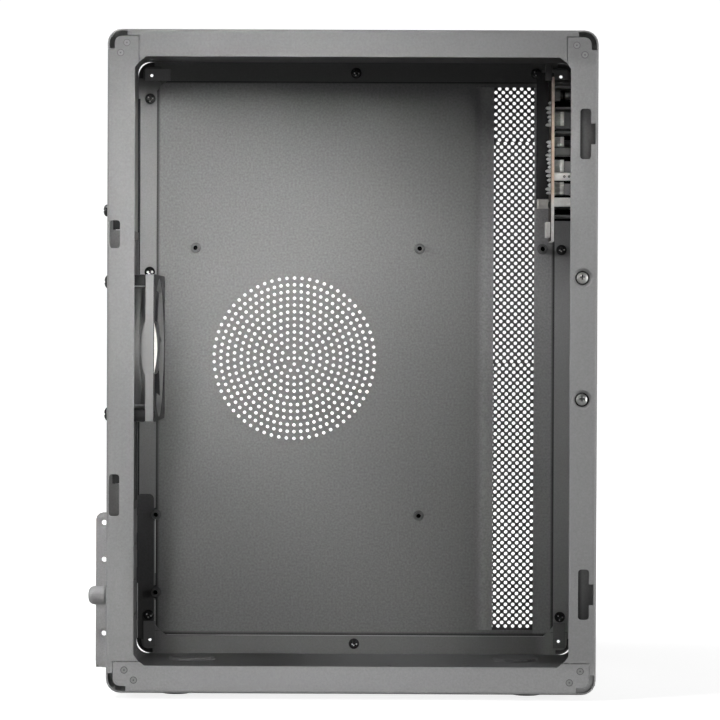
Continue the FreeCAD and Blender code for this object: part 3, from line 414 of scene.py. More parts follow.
# %% Coat grain
PEEL_PER_METRE, PEEL_SHARE = 420.0, 0.6

coat_grain, start, end = new_group(
    "coat_grain",
    [("Colour", COLOUR, (0.2, 0.2, 0.2, 1)), ("Grains per metre", FLOAT, 1400.0),
     ("Contrast", FLOAT, 0.25)],
    [("Colour", COLOUR), ("Height", FLOAT)])
spot = coat_grain.nodes.new("ShaderNodeTexCoord").outputs["Object"]
speck = noise(coat_grain, spot, start.outputs["Grains per metre"], 3.0)
peel = noise(coat_grain, spot, PEEL_PER_METRE, 1.0)
low = math_node(coat_grain, "SUBTRACT", 1.0, start.outputs["Contrast"])
high = math_node(coat_grain, "ADD", 1.0, start.outputs["Contrast"])
shade = spread(coat_grain, speck, low, high)
tint = coat_grain.nodes.new("ShaderNodeVectorMath")
tint.operation = "SCALE"
coat_grain.links.new(start.outputs["Colour"], tint.inputs[0])
coat_grain.links.new(shade, tint.inputs["Scale"])
coat_grain.links.new(tint.outputs["Vector"], end.inputs["Colour"])
soft = math_node(coat_grain, "MULTIPLY", peel, PEEL_SHARE)
coat_grain.links.new(math_node(coat_grain, "ADD", speck, soft), end.inputs["Height"])
print("group:", coat_grain.name)

# %% [markdown]
# ## Handling marks
# Hands and cloths leave soft cloudy changes of gloss. Large noise, mapped between a smoothest and
# a roughest value, gives them.

# %% Handling marks
handling, start, end = new_group(
    "handling_marks",
    [("Smoothest", FLOAT, 0.4), ("Roughest", FLOAT, 0.6), ("Clouds per metre", FLOAT, 22.0)],
    [("Roughness", FLOAT)])
spot = handling.nodes.new("ShaderNodeTexCoord").outputs["Object"]
cloud = noise(handling, spot, start.outputs["Clouds per metre"], 5.0)
handling.links.new(spread(handling, cloud, start.outputs["Smoothest"], start.outputs["Roughest"]),
                   end.inputs["Roughness"])
print("group:", handling.name)

# %% [markdown]
# ## Drawn streaks
# Turned or drawn metal keeps fine lines along the way the tool went. Noise that is stretched along
# one axis looks the same.

# %% Drawn streaks
STREAK_STRETCH = (0.12, 1.0, 1.0)
STREAK_GLOSS = (0.22, 0.45)

streaks, start, end = new_group(
    "drawn_streaks",
    [("Colour", COLOUR, (0.5, 0.5, 0.5, 1)), ("Streaks per metre", FLOAT, 900.0),
     ("Contrast", FLOAT, 0.2)],
    [("Colour", COLOUR), ("Roughness", FLOAT), ("Height", FLOAT)])
spot = streaks.nodes.new("ShaderNodeTexCoord").outputs["Object"]
stretch = streaks.nodes.new("ShaderNodeMapping")
stretch.inputs["Scale"].default_value = STREAK_STRETCH
streaks.links.new(spot, stretch.inputs["Vector"])
line = noise(streaks, stretch.outputs["Vector"], start.outputs["Streaks per metre"], 3.0)
low = math_node(streaks, "SUBTRACT", 1.0, start.outputs["Contrast"])
high = math_node(streaks, "ADD", 1.0, start.outputs["Contrast"])
tint = streaks.nodes.new("ShaderNodeVectorMath")
tint.operation = "SCALE"
streaks.links.new(start.outputs["Colour"], tint.inputs[0])
streaks.links.new(spread(streaks, line, low, high), tint.inputs["Scale"])
streaks.links.new(tint.outputs["Vector"], end.inputs["Colour"])
streaks.links.new(spread(streaks, line, *STREAK_GLOSS), end.inputs["Roughness"])
streaks.links.new(line, end.inputs["Height"])
print("group:", streaks.name)

# %% [markdown]
# ## Fade along a direction
# A mask that grows along one direction lets a colour change from place to place. It uses object
# coordinates, so it stays on the piece when the piece moves.

# %% Fade along a direction
fade_along, start, end = new_group(
    "fade_along",
    [("Direction", "NodeSocketVector", (1, 0, 0)), ("Start", FLOAT, 0.0), ("End", FLOAT, 1.0)],
    [("Mask", FLOAT)])
spot = fade_along.nodes.new("ShaderNodeTexCoord").outputs["Object"]
along = fade_along.nodes.new("ShaderNodeVectorMath")
along.operation = "DOT_PRODUCT"
fade_along.links.new(spot, along.inputs[0])
fade_along.links.new(start.outputs["Direction"], along.inputs[1])
ramp = fade_along.nodes.new("ShaderNodeMapRange")
ramp.interpolation_type = "SMOOTHSTEP"
fade_along.links.new(along.outputs["Value"], ramp.inputs["Value"])
fade_along.links.new(start.outputs["Start"], ramp.inputs["From Min"])
fade_along.links.new(start.outputs["End"], ramp.inputs["From Max"])
fade_along.links.new(ramp.outputs["Result"], end.inputs["Mask"])
print("group:", fade_along.name)

# %% [markdown]
# ## Coated finishes
# Powder coat, moulded plastic and rubber are built in one way: a grainy colour, clouds of gloss and
# a small bump. The folded sheet has no sharp edges, so a coat can also round the light at each edge
# with a bevel node. Fades let the colour change along the piece.

# %% Coat maker
COAT_BUMP = 0.0004
BEVEL_SAMPLES = 4


def group_node(tree, group, values):
    """Group placed in a material with its own values."""
    node = tree.nodes.new("ShaderNodeGroup")
    node.node_tree = group
    for label, value in values.items():
        node.inputs[label].default_value = value
    return node


def new_finish(name, sockets):
    """Material with a Principled shader and plain values on its sockets."""
    material = bpy.data.materials.new(name)
    material.use_nodes = True
    shader = material.node_tree.nodes["Principled BSDF"]
    for label, value in sockets.items():
        shader.inputs[label].default_value = value
    return material, material.node_tree, shader


def coated(name, colour, grains, contrast, smoothest, roughest, bump=0.12, edge=0.0, fades=(), shine=0.5):
    """Grainy coat or moulded plastic. Each fade is a direction, start and end in mm, and a colour."""
    material, tree, shader = new_finish(name, {"Specular IOR Level": shine})
    grain = group_node(tree, coat_grain, {"Colour": (*colour, 1), "Grains per metre": grains,
                                          "Contrast": contrast})
    gloss = group_node(tree, handling, {"Smoothest": smoothest, "Roughest": roughest})
    relief = tree.nodes.new("ShaderNodeBump")
    relief.inputs["Strength"].default_value = bump
    relief.inputs["Distance"].default_value = COAT_BUMP
    if edge:
        corner = tree.nodes.new("ShaderNodeBevel")
        corner.samples = BEVEL_SAMPLES
        corner.inputs["Radius"].default_value = edge * MM
        tree.links.new(corner.outputs["Normal"], relief.inputs["Normal"])
    last = None
    for direction, start, end, other in fades:
        mask = group_node(tree, fade_along, {"Direction": direction, "Start": start * MM, "End": end * MM})
        mix = tree.nodes.new("ShaderNodeMix")
        mix.data_type = "RGBA"
        mix.inputs["A"].default_value = (*colour, 1)
        mix.inputs["B"].default_value = (*other, 1)
        tree.links.new(mask.outputs["Mask"], mix.inputs["Factor"])
        if last:
            tree.links.new(last, mix.inputs["A"])
        last = mix.outputs["Result"]
    if last:
        tree.links.new(last, grain.inputs["Colour"])
    tree.links.new(grain.outputs["Colour"], shader.inputs["Base Color"])
    tree.links.new(gloss.outputs["Roughness"], shader.inputs["Roughness"])
    tree.links.new(grain.outputs["Height"], relief.inputs["Height"])
    tree.links.new(relief.outputs["Normal"], shader.inputs["Normal"])
    return material


print("finish maker ready: coated, bump in metres:", COAT_BUMP)

# %% [markdown]
# ## Metal finishes
# Plated and drawn metal mirrors its surroundings, so its shader is fully metallic. The streaks
# group gives its colour, roughness and a very small bump.

# %% Metal maker
METAL_BUMP = 0.0002


def metal(name, colour, contrast=0.2, bump=0.05):
    """Plated or drawn metal with fine streaks."""
    material, tree, shader = new_finish(name, {"Metallic": 1.0})
    drawn = group_node(tree, streaks, {"Colour": (*colour, 1), "Contrast": contrast})
    relief = tree.nodes.new("ShaderNodeBump")
    relief.inputs["Strength"].default_value = bump
    relief.inputs["Distance"].default_value = METAL_BUMP
    tree.links.new(drawn.outputs["Colour"], shader.inputs["Base Color"])
    tree.links.new(drawn.outputs["Roughness"], shader.inputs["Roughness"])
    tree.links.new(drawn.outputs["Height"], relief.inputs["Height"])
    tree.links.new(relief.outputs["Normal"], shader.inputs["Normal"])
    return material


def grey(level):
    """Neutral colour of one level."""
    return level, level, level


print("finish maker ready: metal, bump in metres:", METAL_BUMP)

# %% [markdown]
# ## Powder coats
# One grey powder covers all the folded steel. In the picture each bar and flange has a slightly
# different tone, because the studio light is uneven. The lamps alone cannot give that, so the coat
# of the shell changes its tone in small steps. The slanted directions keep each step on the narrow
# face of one bar or flange and off the outside of the case. A dark line on the tray, where a flange
# meets it, stays on the near face for the same reason: a strong pull along Y shuts out the back.

# %% Powder coats
TRAY_FACE, TRAY_BACK = 93.0, 94.0
FACE_PULL = 100
# The dark line on the tray, where a flange meets it, is painted shadow.
GREY, FLANGE_SHADOW = grey(0.20), grey(0.03)
SHELL_TONES = [
    ((-0.05, -1, 0), 99.8, 100.3, grey(0.175)),  # near bar at the rear
    ((-0.05, -1, -0.01), 99.4, 100.4, grey(0.225)),  # lower end of that bar
    ((0, -1, -0.05), 93.9, 94.3, grey(0.26)),  # near bar at the bottom
    ((0, -1, 0.05), 111.6, 112.0, grey(0.16)),  # near bar at the top
    ((0.05, 1, 0), 97.6, 98.1, grey(0.33)),  # far flange at the front
    ((-0.05, 1, 0), 97.0, 97.5, grey(0.25)),  # far flange at the rear
    ((0, 1, 0.05), 108.6, 109.0, grey(0.12)),  # far flange at the top
    ((0, 1, 0), 93.1, 93.5, GREY),  # outside again, past the flanges
]


def flange_shadow_line(across, up, start, end):
    """Painted shadow line on the tray's near face, from start to end along a direction in that face."""
    pull = FACE_PULL * TRAY_FACE
    return (across, -FACE_PULL, up), start - pull, end - pull, FLANGE_SHADOW


grey_coat = coated("grey_powder_coat", GREY, 1100, 0.2, 0.42, 0.52, 0.12, edge=0.45, fades=SHELL_TONES)
# The retainer's coat is the grey powder made lighter: painted light.
retainer_lit_coat = coated("retainer_painted_light_coat", grey(0.29), 1100, 0.2, 0.42, 0.52, 0.12, edge=0.3)
# Past the window's far edge the tray's coat is painted lighter: painted light. Its dark lines along the
# flanges are painted shadow.
tray_coat_painted_light_and_shade = coated("tray_coat_with_painted_light_and_shade", GREY, 850, 0.42, 0.42, 0.52, 0.16,
                   fades=[((1, 0, 0), 111.7, 112.3, grey(0.31)), flange_shadow_line(-1, 0, 108.4, 110.4),
                          flange_shadow_line(1, 0, 121.6, 123.4), flange_shadow_line(0, 1, 340.0, 341.4), flange_shadow_line(0, -1, -17.4, -15.6)])
# The lip's coat grows lighter towards the window: painted light.
window_lip_lit_coat = coated("lip_painted_light_coat", GREY, 850, 0.42, 0.42, 0.52, 0.16,
                  fades=[((1, 0, 0), 77.5, 83.0, grey(0.33))])
# The pocket coat is the grey powder darkened, most at one edge: painted shade.
pocket_shade_coat = coated("pocket_painted_shade_coat", grey(0.085), 1100, 0.25, 0.45, 0.55, 0.12,
                     fades=[((1, 0, 0), 129.6, 127.2, grey(0.015)), ((1, 0, 0), -110, -112, grey(0.10))])
# The shade coat is the grey powder darkened: painted shade for plates and marks that stand in shade.
shade_coat = coated("shade_powder_coat", grey(0.085), 1100, 0.25, 0.45, 0.55, 0.12, shine=0.2)
knob_and_glint_grey = coated("knob_grey_and_painted_highlight", grey(0.27), 1100, 0.1, 0.40, 0.50, 0.06)
mark_coat = coated("mark_grey_coat", GREY, 1100, 0.12, 0.36, 0.46, 0.08)
strip_coat = coated("strip_dark_coat", grey(0.05), 1300, 0.30, 0.45, 0.55, 0.14)
print("finishes so far:", len(bpy.data.materials))

# %% [markdown]
# ## Plastics, rubber and laminate
# Moulded parts use the same maker with less grain and more gloss. The board's edge is bare
# laminate, which is warm in colour and paler towards its lower end.

# %% Plastics, rubber and laminate
fan_black = coated("fan_black_plastic", (0.012, 0.012, 0.0125), 700, 0.15, 0.35, 0.5, 0.06, edge=0.3,
                   shine=0.15)
duct_lit_grey = coated("duct_painted_light_plastic", grey(0.27), 500, 0.06, 0.30, 0.38, 0.02)
fan_grey = coated("fan_grey_plastic", grey(0.19), 500, 0.06, 0.30, 0.38, 0.02, edge=0.3)
blade_grey = coated("fan_blade_plastic", (0.03, 0.03, 0.031), 700, 0.1, 0.26, 0.36, 0.04, shine=0.25)
rubber = coated("foot_black_rubber", grey(0.02), 500, 0.25, 0.65, 0.8, 0.1)
frame_plastic = coated("frame_grey_plastic", grey(0.07), 600, 0.12, 0.4, 0.5, 0.05, edge=0.2)
port_black = coated("port_black_plastic", grey(0.02), 600, 0.12, 0.3, 0.4, 0.04, edge=0.2)
white_plastic_and_highlight = coated("header_white_and_painted_highlight", (0.80, 0.79, 0.75), 500, 0.04, 0.3, 0.4, 0.03, edge=0.2)
button_plastic = coated("button_dark_plastic", grey(0.1), 600, 0.1, 0.28, 0.36, 0.04)
port_pale = coated("port_pale_plastic", (0.25, 0.245, 0.23), 700, 0.15, 0.4, 0.5, 0.05,
                   fades=[((1, 0, 0), 118.9, 119.6, (0.55, 0.54, 0.52))])
tab_pale = coated("tab_pale_plastic", (0.66, 0.65, 0.62), 700, 0.15, 0.4, 0.5, 0.05)
black_shroud_and_bore_shade = coated("shroud_plastic_and_painted_shade", grey(0.004), 600, 0.12, 0.6, 0.7, 0.04, shine=0.0)
dark_guard_and_shade = coated("guard_plastic_and_painted_shade", grey(0.03), 600, 0.12, 0.6, 0.7, 0.04, shine=0.1)
board_tan = coated("board_tan_laminate", (0.86, 0.66, 0.52), 900, 0.15, 0.4, 0.55, 0.08,
                   fades=[((0, 0, 1), 300.0, 333.0, (0.55, 0.45, 0.39)),
                          ((0, 0, 1), 272.0, 262.0, (0.86, 0.84, 0.82))])
board_brown = coated("board_brown_mask", (0.03, 0.022, 0.016), 700, 0.15, 0.4, 0.5, 0.04, shine=0.2)
print("finishes so far:", len(bpy.data.materials))

# %% [markdown]
# ## Metals
# Screws are black oxide or bright plate, standoffs a dull plate, and the ports have plated shells.
# Black oxide and the painted highlights on edges and screw heads are so fine that the coated maker gives
# them best.

# %% Metals
black_oxide_and_shade = coated("screw_black_oxide_and_painted_shade", grey(0.012), 900, 0.2, 0.22, 0.34, 0.05)
bright_plate = metal("screw_bright_plate", (0.46, 0.46, 0.45))
dull_plate = metal("standoff_dull_plate", grey(0.22), 0.15)
port_shell = metal("port_plated_shell", grey(0.10), 0.12)
edge_highlight_grey = coated("edge_painted_highlight", grey(0.5), 900, 0.2, 0.3, 0.4, 0.02)
painted_glint_grey = coated("screw_painted_glint", grey(0.80), 900, 0.1, 0.3, 0.4, 0.02)
solder = metal("board_solder", (0.80, 0.80, 0.79), 0.08)
print("finishes:", len(bpy.data.materials))

# %% [markdown]
# ## Solids that stay
# The folded shell, the slot covers, the retainer plate and the parts of the port board already
# have the right shape. They keep their meshes and only get a finish.

# %% Dress the kept solids
# The port plate wears the shade coat: painted shade.
DRESS = {
    grey_coat: ["outer_shell", "slot_cover_1", "slot_cover_2", "slot_cover_3", "slot_cover_4"],
    retainer_lit_coat: ["slot_retainer"],
    board_tan: ["io_board"],
    frame_plastic: ["io_frame"],
    port_black: ["audio_jack", "power_switch"],
    port_shell: ["usb_c_port", "usb_port_upper", "usb_port_lower"],
    white_plastic_and_highlight: ["cable_connector"],
    shade_coat: ["port_plate"],
    rubber: ["fan_gasket"],
}
for finish, names in DRESS.items():
    for name in names:
        mesh = nodes[name].data
        mesh.materials.clear()
        mesh.materials.append(finish)
print("dressed solids:", sum(len(names) for names in DRESS.values()))

# %% [markdown]
# ## Board tray
# The far wall is one flat sheet. Its vent is a centre hole inside twelve rings of small punched
# holes, 467 in all, and a tall window shows the perforated strip behind it. A filled curve keeps
# every hole sharp. Beside the window the sheet is pressed forward into a lip, which catches the
# light from the left; it is a piece of its own, with a curved face.

# %% Tray sheet
FRONT_INSIDE, REAR_INSIDE = 135.0, -121.8
TRAY_PLATE, TRAY_CORNER = ((REAR_INSIDE, 4.0), (FRONT_INSIDE, 352.6)), 8.4
VENT_SPOT = (-29.34, 178.42)
VENT_COUNTS = (4, 11, 18, 24, 30, 36, 43, 49, 55, 62, 68, 66)
VENT_FIRST_RING, VENT_RING_STEP = 3.51, 3.983
VENT_HOLE, CORNER_HOLE, POST_HOLE = 1.04, 0.95, 1.95
WINDOW = ((87.9, 18.4), (111.9, 338.5))
STANDOFF_SPOTS = ((-87.68, 243.29), (44.40, 243.29), (116.79, 243.29), (-110.54, 85.81),
                  (44.40, 85.81), (-110.54, 40.09))
CORNER_SPOTS = ((-114.0, 11.8), (-114.0, 344.8), (127.2, 11.8), (127.2, 344.8))
LIP_START = 77.2


def vent_spots():
    """Centre, then rings that each start at twelve o'clock."""
    spots = [VENT_SPOT]
    for ring, count in enumerate(VENT_COUNTS):
        reach = VENT_FIRST_RING + VENT_RING_STEP * ring
        for k in range(count):
            turn = 2 * math.pi * k / count
            spots.append((VENT_SPOT[0] + reach * math.sin(turn), VENT_SPOT[1] + reach * math.cos(turn)))
    return spots


holes = [round_hole(x, z, VENT_HOLE, 12) for x, z in vent_spots()]
holes += [round_hole(x, z, CORNER_HOLE, 16) for x, z in CORNER_SPOTS]
holes += [round_hole(x, z, POST_HOLE, 16) for x, z in STANDOFF_SPOTS]
(low_x, low_z), (high_x, high_z) = WINDOW
holes.append(round_plate((LIP_START, low_z), (high_x, high_z), 0.3, 2))
tray = pierced_sheet("y", TRAY_FACE, TRAY_BACK, round_plate(*TRAY_PLATE, TRAY_CORNER), holes)
make_piece("tray_sheet", tray, tray_coat_painted_light_and_shade, stands_for=["motherboard_tray"])
print("vent holes:", len(vent_spots()))

# %% [markdown]
# ## Lip of the window
# The lip could be a bent part of the sheet, but a filled curve stays flat. So it is a strip of its
# own, swept forward in a curve from the sheet to the window's edge and as thick as the sheet.

# %% Window lip
LIP_RISE, LIP_CURVE, LIP_ROWS = 1.8, 1.7, 12
LIP_LAP, LIP_GAP = 0.6, 0.1

points, faces = [], []
for k in range(LIP_ROWS + 1):
    t = k / LIP_ROWS
    x = LIP_START - LIP_LAP + (low_x - LIP_START + LIP_LAP) * t
    y = TRAY_FACE - LIP_RISE * t ** LIP_CURVE
    for back in (0, TRAY_BACK - TRAY_FACE):
        points += [(x, y + back, low_z + LIP_GAP), (x, y + back, high_z - LIP_GAP)]
for k in range(LIP_ROWS):
    a, b = 4 * k, 4 * k + 4
    faces += [(a, a + 1, b + 1, b), (a + 2, b + 2, b + 3, a + 3)]
    faces += [(a, b, b + 2, a + 2), (a + 1, a + 3, b + 3, b + 1)]
end = 4 * LIP_ROWS
faces += [(0, 2, 3, 1), (end, end + 1, end + 3, end + 2)]
# Its coat grows lighter towards the window: painted light.
make_piece("window_lip", (points, faces), window_lip_lit_coat)

# %% [markdown]
# ## Perforated strip
# Behind the window lies a darker strip with staggered rows of holes. The press that punches it
# works in three strokes, and each stroke lands a little to one side, which shows as small steps in
# the pattern. Three groups of rows with their own start give the same steps.

# %% Strip sheet
STRIP_FACE, STRIP_BACK = 94.0, 95.0
STRIP_PLATE = ((81.9, 12.4), (119.0, 344.5))
STRIP_COLUMN, STRIP_ROW = 4.322, 2.142
STRIP_TOP, STRIP_ROWS = 337.7, 149
STRIP_HOLE, STRIP_SPAN = 1.09, (85.5, 115.0)
STROKES = ((0, 91.21), (15, 92.45), (76, 91.65))


def strip_spots():
    """Places of the strip's holes, row by row from the top."""
    spots = []
    for row in range(STRIP_ROWS):
        start = [x for first, x in STROKES if row >= first][-1]
        x = start - 2 * STRIP_COLUMN + (row % 2) * STRIP_COLUMN / 2
        while x < STRIP_SPAN[1]:
            if x > STRIP_SPAN[0]:
                spots.append((x, STRIP_TOP - row * STRIP_ROW))
            x += STRIP_COLUMN
    return spots


holes = [round_hole(x, z, STRIP_HOLE, 10) for x, z in strip_spots()]
strip = pierced_sheet("y", STRIP_FACE, STRIP_BACK, round_plate(*STRIP_PLATE, 2.0, 4), holes)
make_piece("strip_sheet", strip, strip_coat, stands_for=["vent_strip"])
print("strip holes:", len(holes))

# %% [markdown]
# ## Screws
# All screws are pan heads with a cross recess. The head is a polar grid of points: its height
# follows a dome, and points inside the cross are pushed down. Below it is a shank with rings for
# the thread. One function makes them all, at the sizes and faces of each place.

# %% Screw maker
RIM_SHARE, DOME_POWER = 0.45, 2.6
CROSS_HALF, CROSS_REACH, CROSS_DEPTH = 0.13, 0.58, 0.55
THREAD_STEP = 0.7


def dome(r):
    """Height of a head at a share of its radius, as a share of its full height."""
    return RIM_SHARE + (1 - RIM_SHARE) * math.sqrt(max(0.0, 1 - r ** DOME_POWER))


def screw(axis, spot, out, radius, height, shank, length, sides=48, rings=12):
    """Screw whose head stands out of a face (out is 1 or -1 along the axis)."""
    points, faces = [], []
    for ring in range(rings + 1):
        r = ring / rings
        for k in range(sides):
            turn = 2 * math.pi * k / sides
            u, v = r * math.cos(turn), r * math.sin(turn)
            arm = min(abs(u), abs(v)) < CROSS_HALF and max(abs(u), abs(v)) < CROSS_REACH
            rise = height * (dome(r) - (CROSS_DEPTH * (1 - 0.7 * r) if arm else 0))
            points.append(place(axis, spot, out * rise, radius * u, radius * v))
    for ring in range(rings):
        for k in range(sides):
            n = (k + 1) % sides
            a, b = ring * sides, (ring + 1) * sides
            faces.append((a + k, a + n, b + n, b + k) if ring else (n, b + n, b + k, k))
    head = points, faces
    rim = turned(axis, spot, [(out * height * RIM_SHARE, radius), (out * height * 0.12, radius),
                              (0, radius * 0.94), (0, shank)], sides)
    turns = max(2, int(length / THREAD_STEP))
    thread = [(0, shank)]
    for k in range(turns):
        thread.append((-out * length * (k + 0.5) / turns, shank * 0.86))
        thread.append((-out * length * (k + 1) / turns, shank))
    thread += [(-out * length, shank * 0.7), (-out * length, 0)]
    return joined(head, rim, turned(axis, spot, thread, sides))


print("screw maker ready, thread step in millimetres:", THREAD_STEP)

# %% [markdown]
# ## Tray screws
# Eight black screws hold the tray to the far flange. Small bright spots on their heads are painted
# highlights. Each spot is a low turned dot that follows the dome.

# %% Tray screws
FLANGE_FACE = 92
TRAY_SCREWS = ((-114.7, 331.0), (-114.7, 229.0), (-114.7, 26.4), (127.9, 242.8), (127.9, 26.4),
               (6.6, 346.5), (112.6, 346.5), (6.6, 10.1))
TRAY_HEAD, TRAY_HEAD_RISE = 3.1, 2.0
GLINT_SIZE, BRIGHT_GLINT_SIZE, BRIGHTEST = 0.42, 0.75, 1

screws = [screw("y", (x, FLANGE_FACE, z), -1, TRAY_HEAD, TRAY_HEAD_RISE, 1.5, 2.0) for x, z in TRAY_SCREWS]
make_piece("tray_screws", joined(*screws), black_oxide_and_shade)
glint_dots = []
for k, (x, z) in enumerate(TRAY_SCREWS):
    size = BRIGHT_GLINT_SIZE if k == BRIGHTEST else GLINT_SIZE
    glint_profile = [(0.3, size), (-0.05, size), (-0.14, size * 0.6), (-0.16, 0)]
    for a, b in ((1.5, 0.1 - 0.2 * (k % 3)), (-1.0, 0.7 - 0.9 * (k % 2)), (-0.2, -1.7 + 0.3 * (k % 4))):
        depth = FLANGE_FACE - TRAY_HEAD_RISE * dome(math.hypot(a, b) / TRAY_HEAD)
        glint_dots.append(turned("y", (x + a, depth, z + b), glint_profile, 14))
make_piece("tray_screw_glints", joined(*glint_dots), painted_glint_grey)

# %% [markdown]
# ## Bar screws
# Two bright screws sit in dished seats of the near bar. Each has a dark washer, and a dark cross
# in its recess is painted shade.

# %% Bar screws
SEAT_FACE = -93.4
BAR_SCREWS = ((128.0, 223.2), (128.0, 159.0))
CROSS_FACE, CROSS_FOOT = -94.87, -94.3

screws = [screw("y", (x, SEAT_FACE, z), -1, 2.95, 1.4, 1.5, 4.0) for x, z in BAR_SCREWS]
make_piece("bar_screws", joined(*screws), bright_plate)
cross_shades = []
for x, z in BAR_SCREWS:
    cross_shades.append(soft_block((x - 0.32, CROSS_FACE, z - 0.9), (x + 0.32, CROSS_FOOT, z + 1.75), 0.12))
    cross_shades.append(soft_block((x - 1.35, CROSS_FACE, z + 0.15), (x + 1.35, CROSS_FOOT, z + 0.8), 0.12))
make_piece("bar_screw_cross_shade", joined(*cross_shades), black_oxide_and_shade)
washer = [(0.05, 2.4), (0.05, 3.75), (-0.25, 3.8), (-0.4, 3.6), (-0.4, 2.4)]
washers = [turned("y", (x, SEAT_FACE, z), washer, 48, closed=True) for x, z in BAR_SCREWS]
make_piece("bar_washers", joined(*washers), black_oxide_and_shade)

# %% [markdown]
# ## Screws of the rear wall and the port board
# A domed screw for the power supply and four for the fan stand out of the rear wall, where they
# show in profile. Two small ones hold the port board.

# %% Rear and board screws
REAR_FACE, BOARD_FACE = -122.8, 114.4
SUPPLY_SCREW = (REAR_FACE, -75, 258.54)
FAN_SPOT, FAN_HOLE_REACH = (-19.0, 185.0), 35.75
FAN_HOLES = [(FAN_SPOT[0] + i * FAN_HOLE_REACH, FAN_SPOT[1] + j * FAN_HOLE_REACH)
             for i in (-1, 1) for j in (-1, 1)]

make_piece("rear_screw", screw("x", SUPPLY_SCREW, -1, 3.3, 3.6, 1.5, 4.0), black_oxide_and_shade)
screws = [screw("x", (REAR_FACE, y, z), -1, 4.0, 4.9, 1.5, 2.2) for y, z in FAN_HOLES]
make_piece("fan_screws", joined(*screws), black_oxide_and_shade)
screws = [screw("x", (BOARD_FACE, -29, z), -1, 2.0, 1.2, 0.8, 5.0, 32, 10) for z in (330.6, 264.2)]
make_piece("port_board_screws", joined(*screws), black_oxide_and_shade)

# %% [markdown]
# ## Standoffs
# Six short posts carry the main board. Each is turned from steel, with a chamfered top, a threaded
# bore and a small foot pressed into the tray. A dark disc at the bottom of each bore is painted shade.

# %% Standoffs
BORE_STEP, BORE_START, BORE_TURNS = 0.75, -6.2, 9
BORE_BOTTOM = 93.3


def standoff(x, z):
    """Hollow post from the tray forward."""
    thread = []
    for k in range(BORE_TURNS):
        along = BORE_START + BORE_STEP * k
        thread += [(along, 1.45), (along + 0.37, 1.62)]
    outline = [(1.0, 0), (1.0, 1.9), (0.0, 1.9), (0.0, 2.9), (-0.5, 3.1), (-0.9, 2.6), (-1.2, 2.45),
               (-6.0, 2.45), (-6.5, 2.0), (-6.5, 1.75)]
    return turned("y", (x, TRAY_FACE, z), outline + thread + [(0.4, 1.45), (0.4, 0)], 32)


disc = [(0.2, 1.6), (0.0, 1.6), (-0.1, 1.45), (-0.1, 0)]
bore_shades = [turned("y", (x, BORE_BOTTOM, z), disc, 24) for x, z in STANDOFF_SPOTS]
make_piece("standoff_bore_shade", joined(*bore_shades), black_shroud_and_bore_shade)
make_piece("standoff_posts", joined(*[standoff(x, z) for x, z in STANDOFF_SPOTS]), dull_plate,
           stands_for=["standoffs"])

# %% [markdown]
# ## Clinch marks
# The corners of the bars are joined without welds: a punch presses one sheet into the other and
# leaves a small ring with a dimple. Two marks sit on each near corner. A dark ring in the groove and
# a dark dot in the dimple are painted shade.

# %% Clinch marks
BAR_FACE = -95.0
CLINCH_SPOTS = ((-112.6, 346.3), (-115.9, 341.0), (-113.1, 15.2), (-108.1, 9.9),
                (124.4, 345.6), (128.7, 340.6), (122.0, 9.6), (127.7, 15.6))
CLINCH_PROFILE = [(0.1, 1.65), (0.0, 1.62), (-0.03, 1.4), (-0.03, 1.2), (-0.01, 0.95), (-0.01, 0.7),
                  (-0.03, 0.52), (-0.03, 0.28), (-0.02, 0)]
RIM_SINK, DOT_SINK = 0.05, 0.02

rim = [(0.1, 1.5), (-0.09, 1.55), (-0.09, 1.88), (0.1, 1.94)]
dot = [(0.1, 0.45), (-0.06, 0.42), (-0.06, 0)]
marks, rims = [], []
for x, z in CLINCH_SPOTS:
    marks.append(turned("y", (x, BAR_FACE, z), CLINCH_PROFILE, 28))
    rims.append(turned("y", (x, BAR_FACE + RIM_SINK, z), rim, 28, closed=True))
    rims.append(turned("y", (x, BAR_FACE + DOT_SINK, z), dot, 16))
make_piece("clinch_marks", joined(*marks), mark_coat)
make_piece("clinch_groove_shade", joined(*rims), shade_coat)

# %% [markdown]
# ## Fan housing
# The fan hangs on the rear wall and shows its edge. Its housing is a square with a round duct and
# four corner posts, and its motor sits on four struts. Two pierced plates and some turned and
# bevelled parts make it, because a single moulding would need many cuts.

# %% Fan housing
FAN_REAR, FAN_FRONT = -120.5, -100.5
FAN_GREY = (-105.2, -100.9)
FAN_HALF, FAN_CORNER, FAN_BORE = 40, 4.5, 38.2
POST_REACH, POST_HALF = 36.2, 3.6
REAR_FLANGE, STRUT = 4.2, 3.0


def strut(degrees):
    """Bar from the motor to the duct, turned round the fan's axis."""
    turn = math.radians(degrees)
    points, faces = soft_block((FAN_REAR, -1.8, 12), (FAN_REAR + STRUT, 1.8, 38.8), 0.5)
    around = [(x, FAN_SPOT[0] + y * math.cos(turn) - z * math.sin(turn),
               FAN_SPOT[1] + y * math.sin(turn) + z * math.cos(turn)) for x, y, z in points]
    return around, faces


def post(i, j):
    """Corner post between the flanges."""
    y, z = FAN_SPOT[0] + i * POST_REACH, FAN_SPOT[1] + j * POST_REACH
    return soft_block((FAN_REAR + 4.0, y - POST_HALF, z - POST_HALF),
                      (FAN_GREY[0] + 0.4, y + POST_HALF, z + POST_HALF), 1.2)


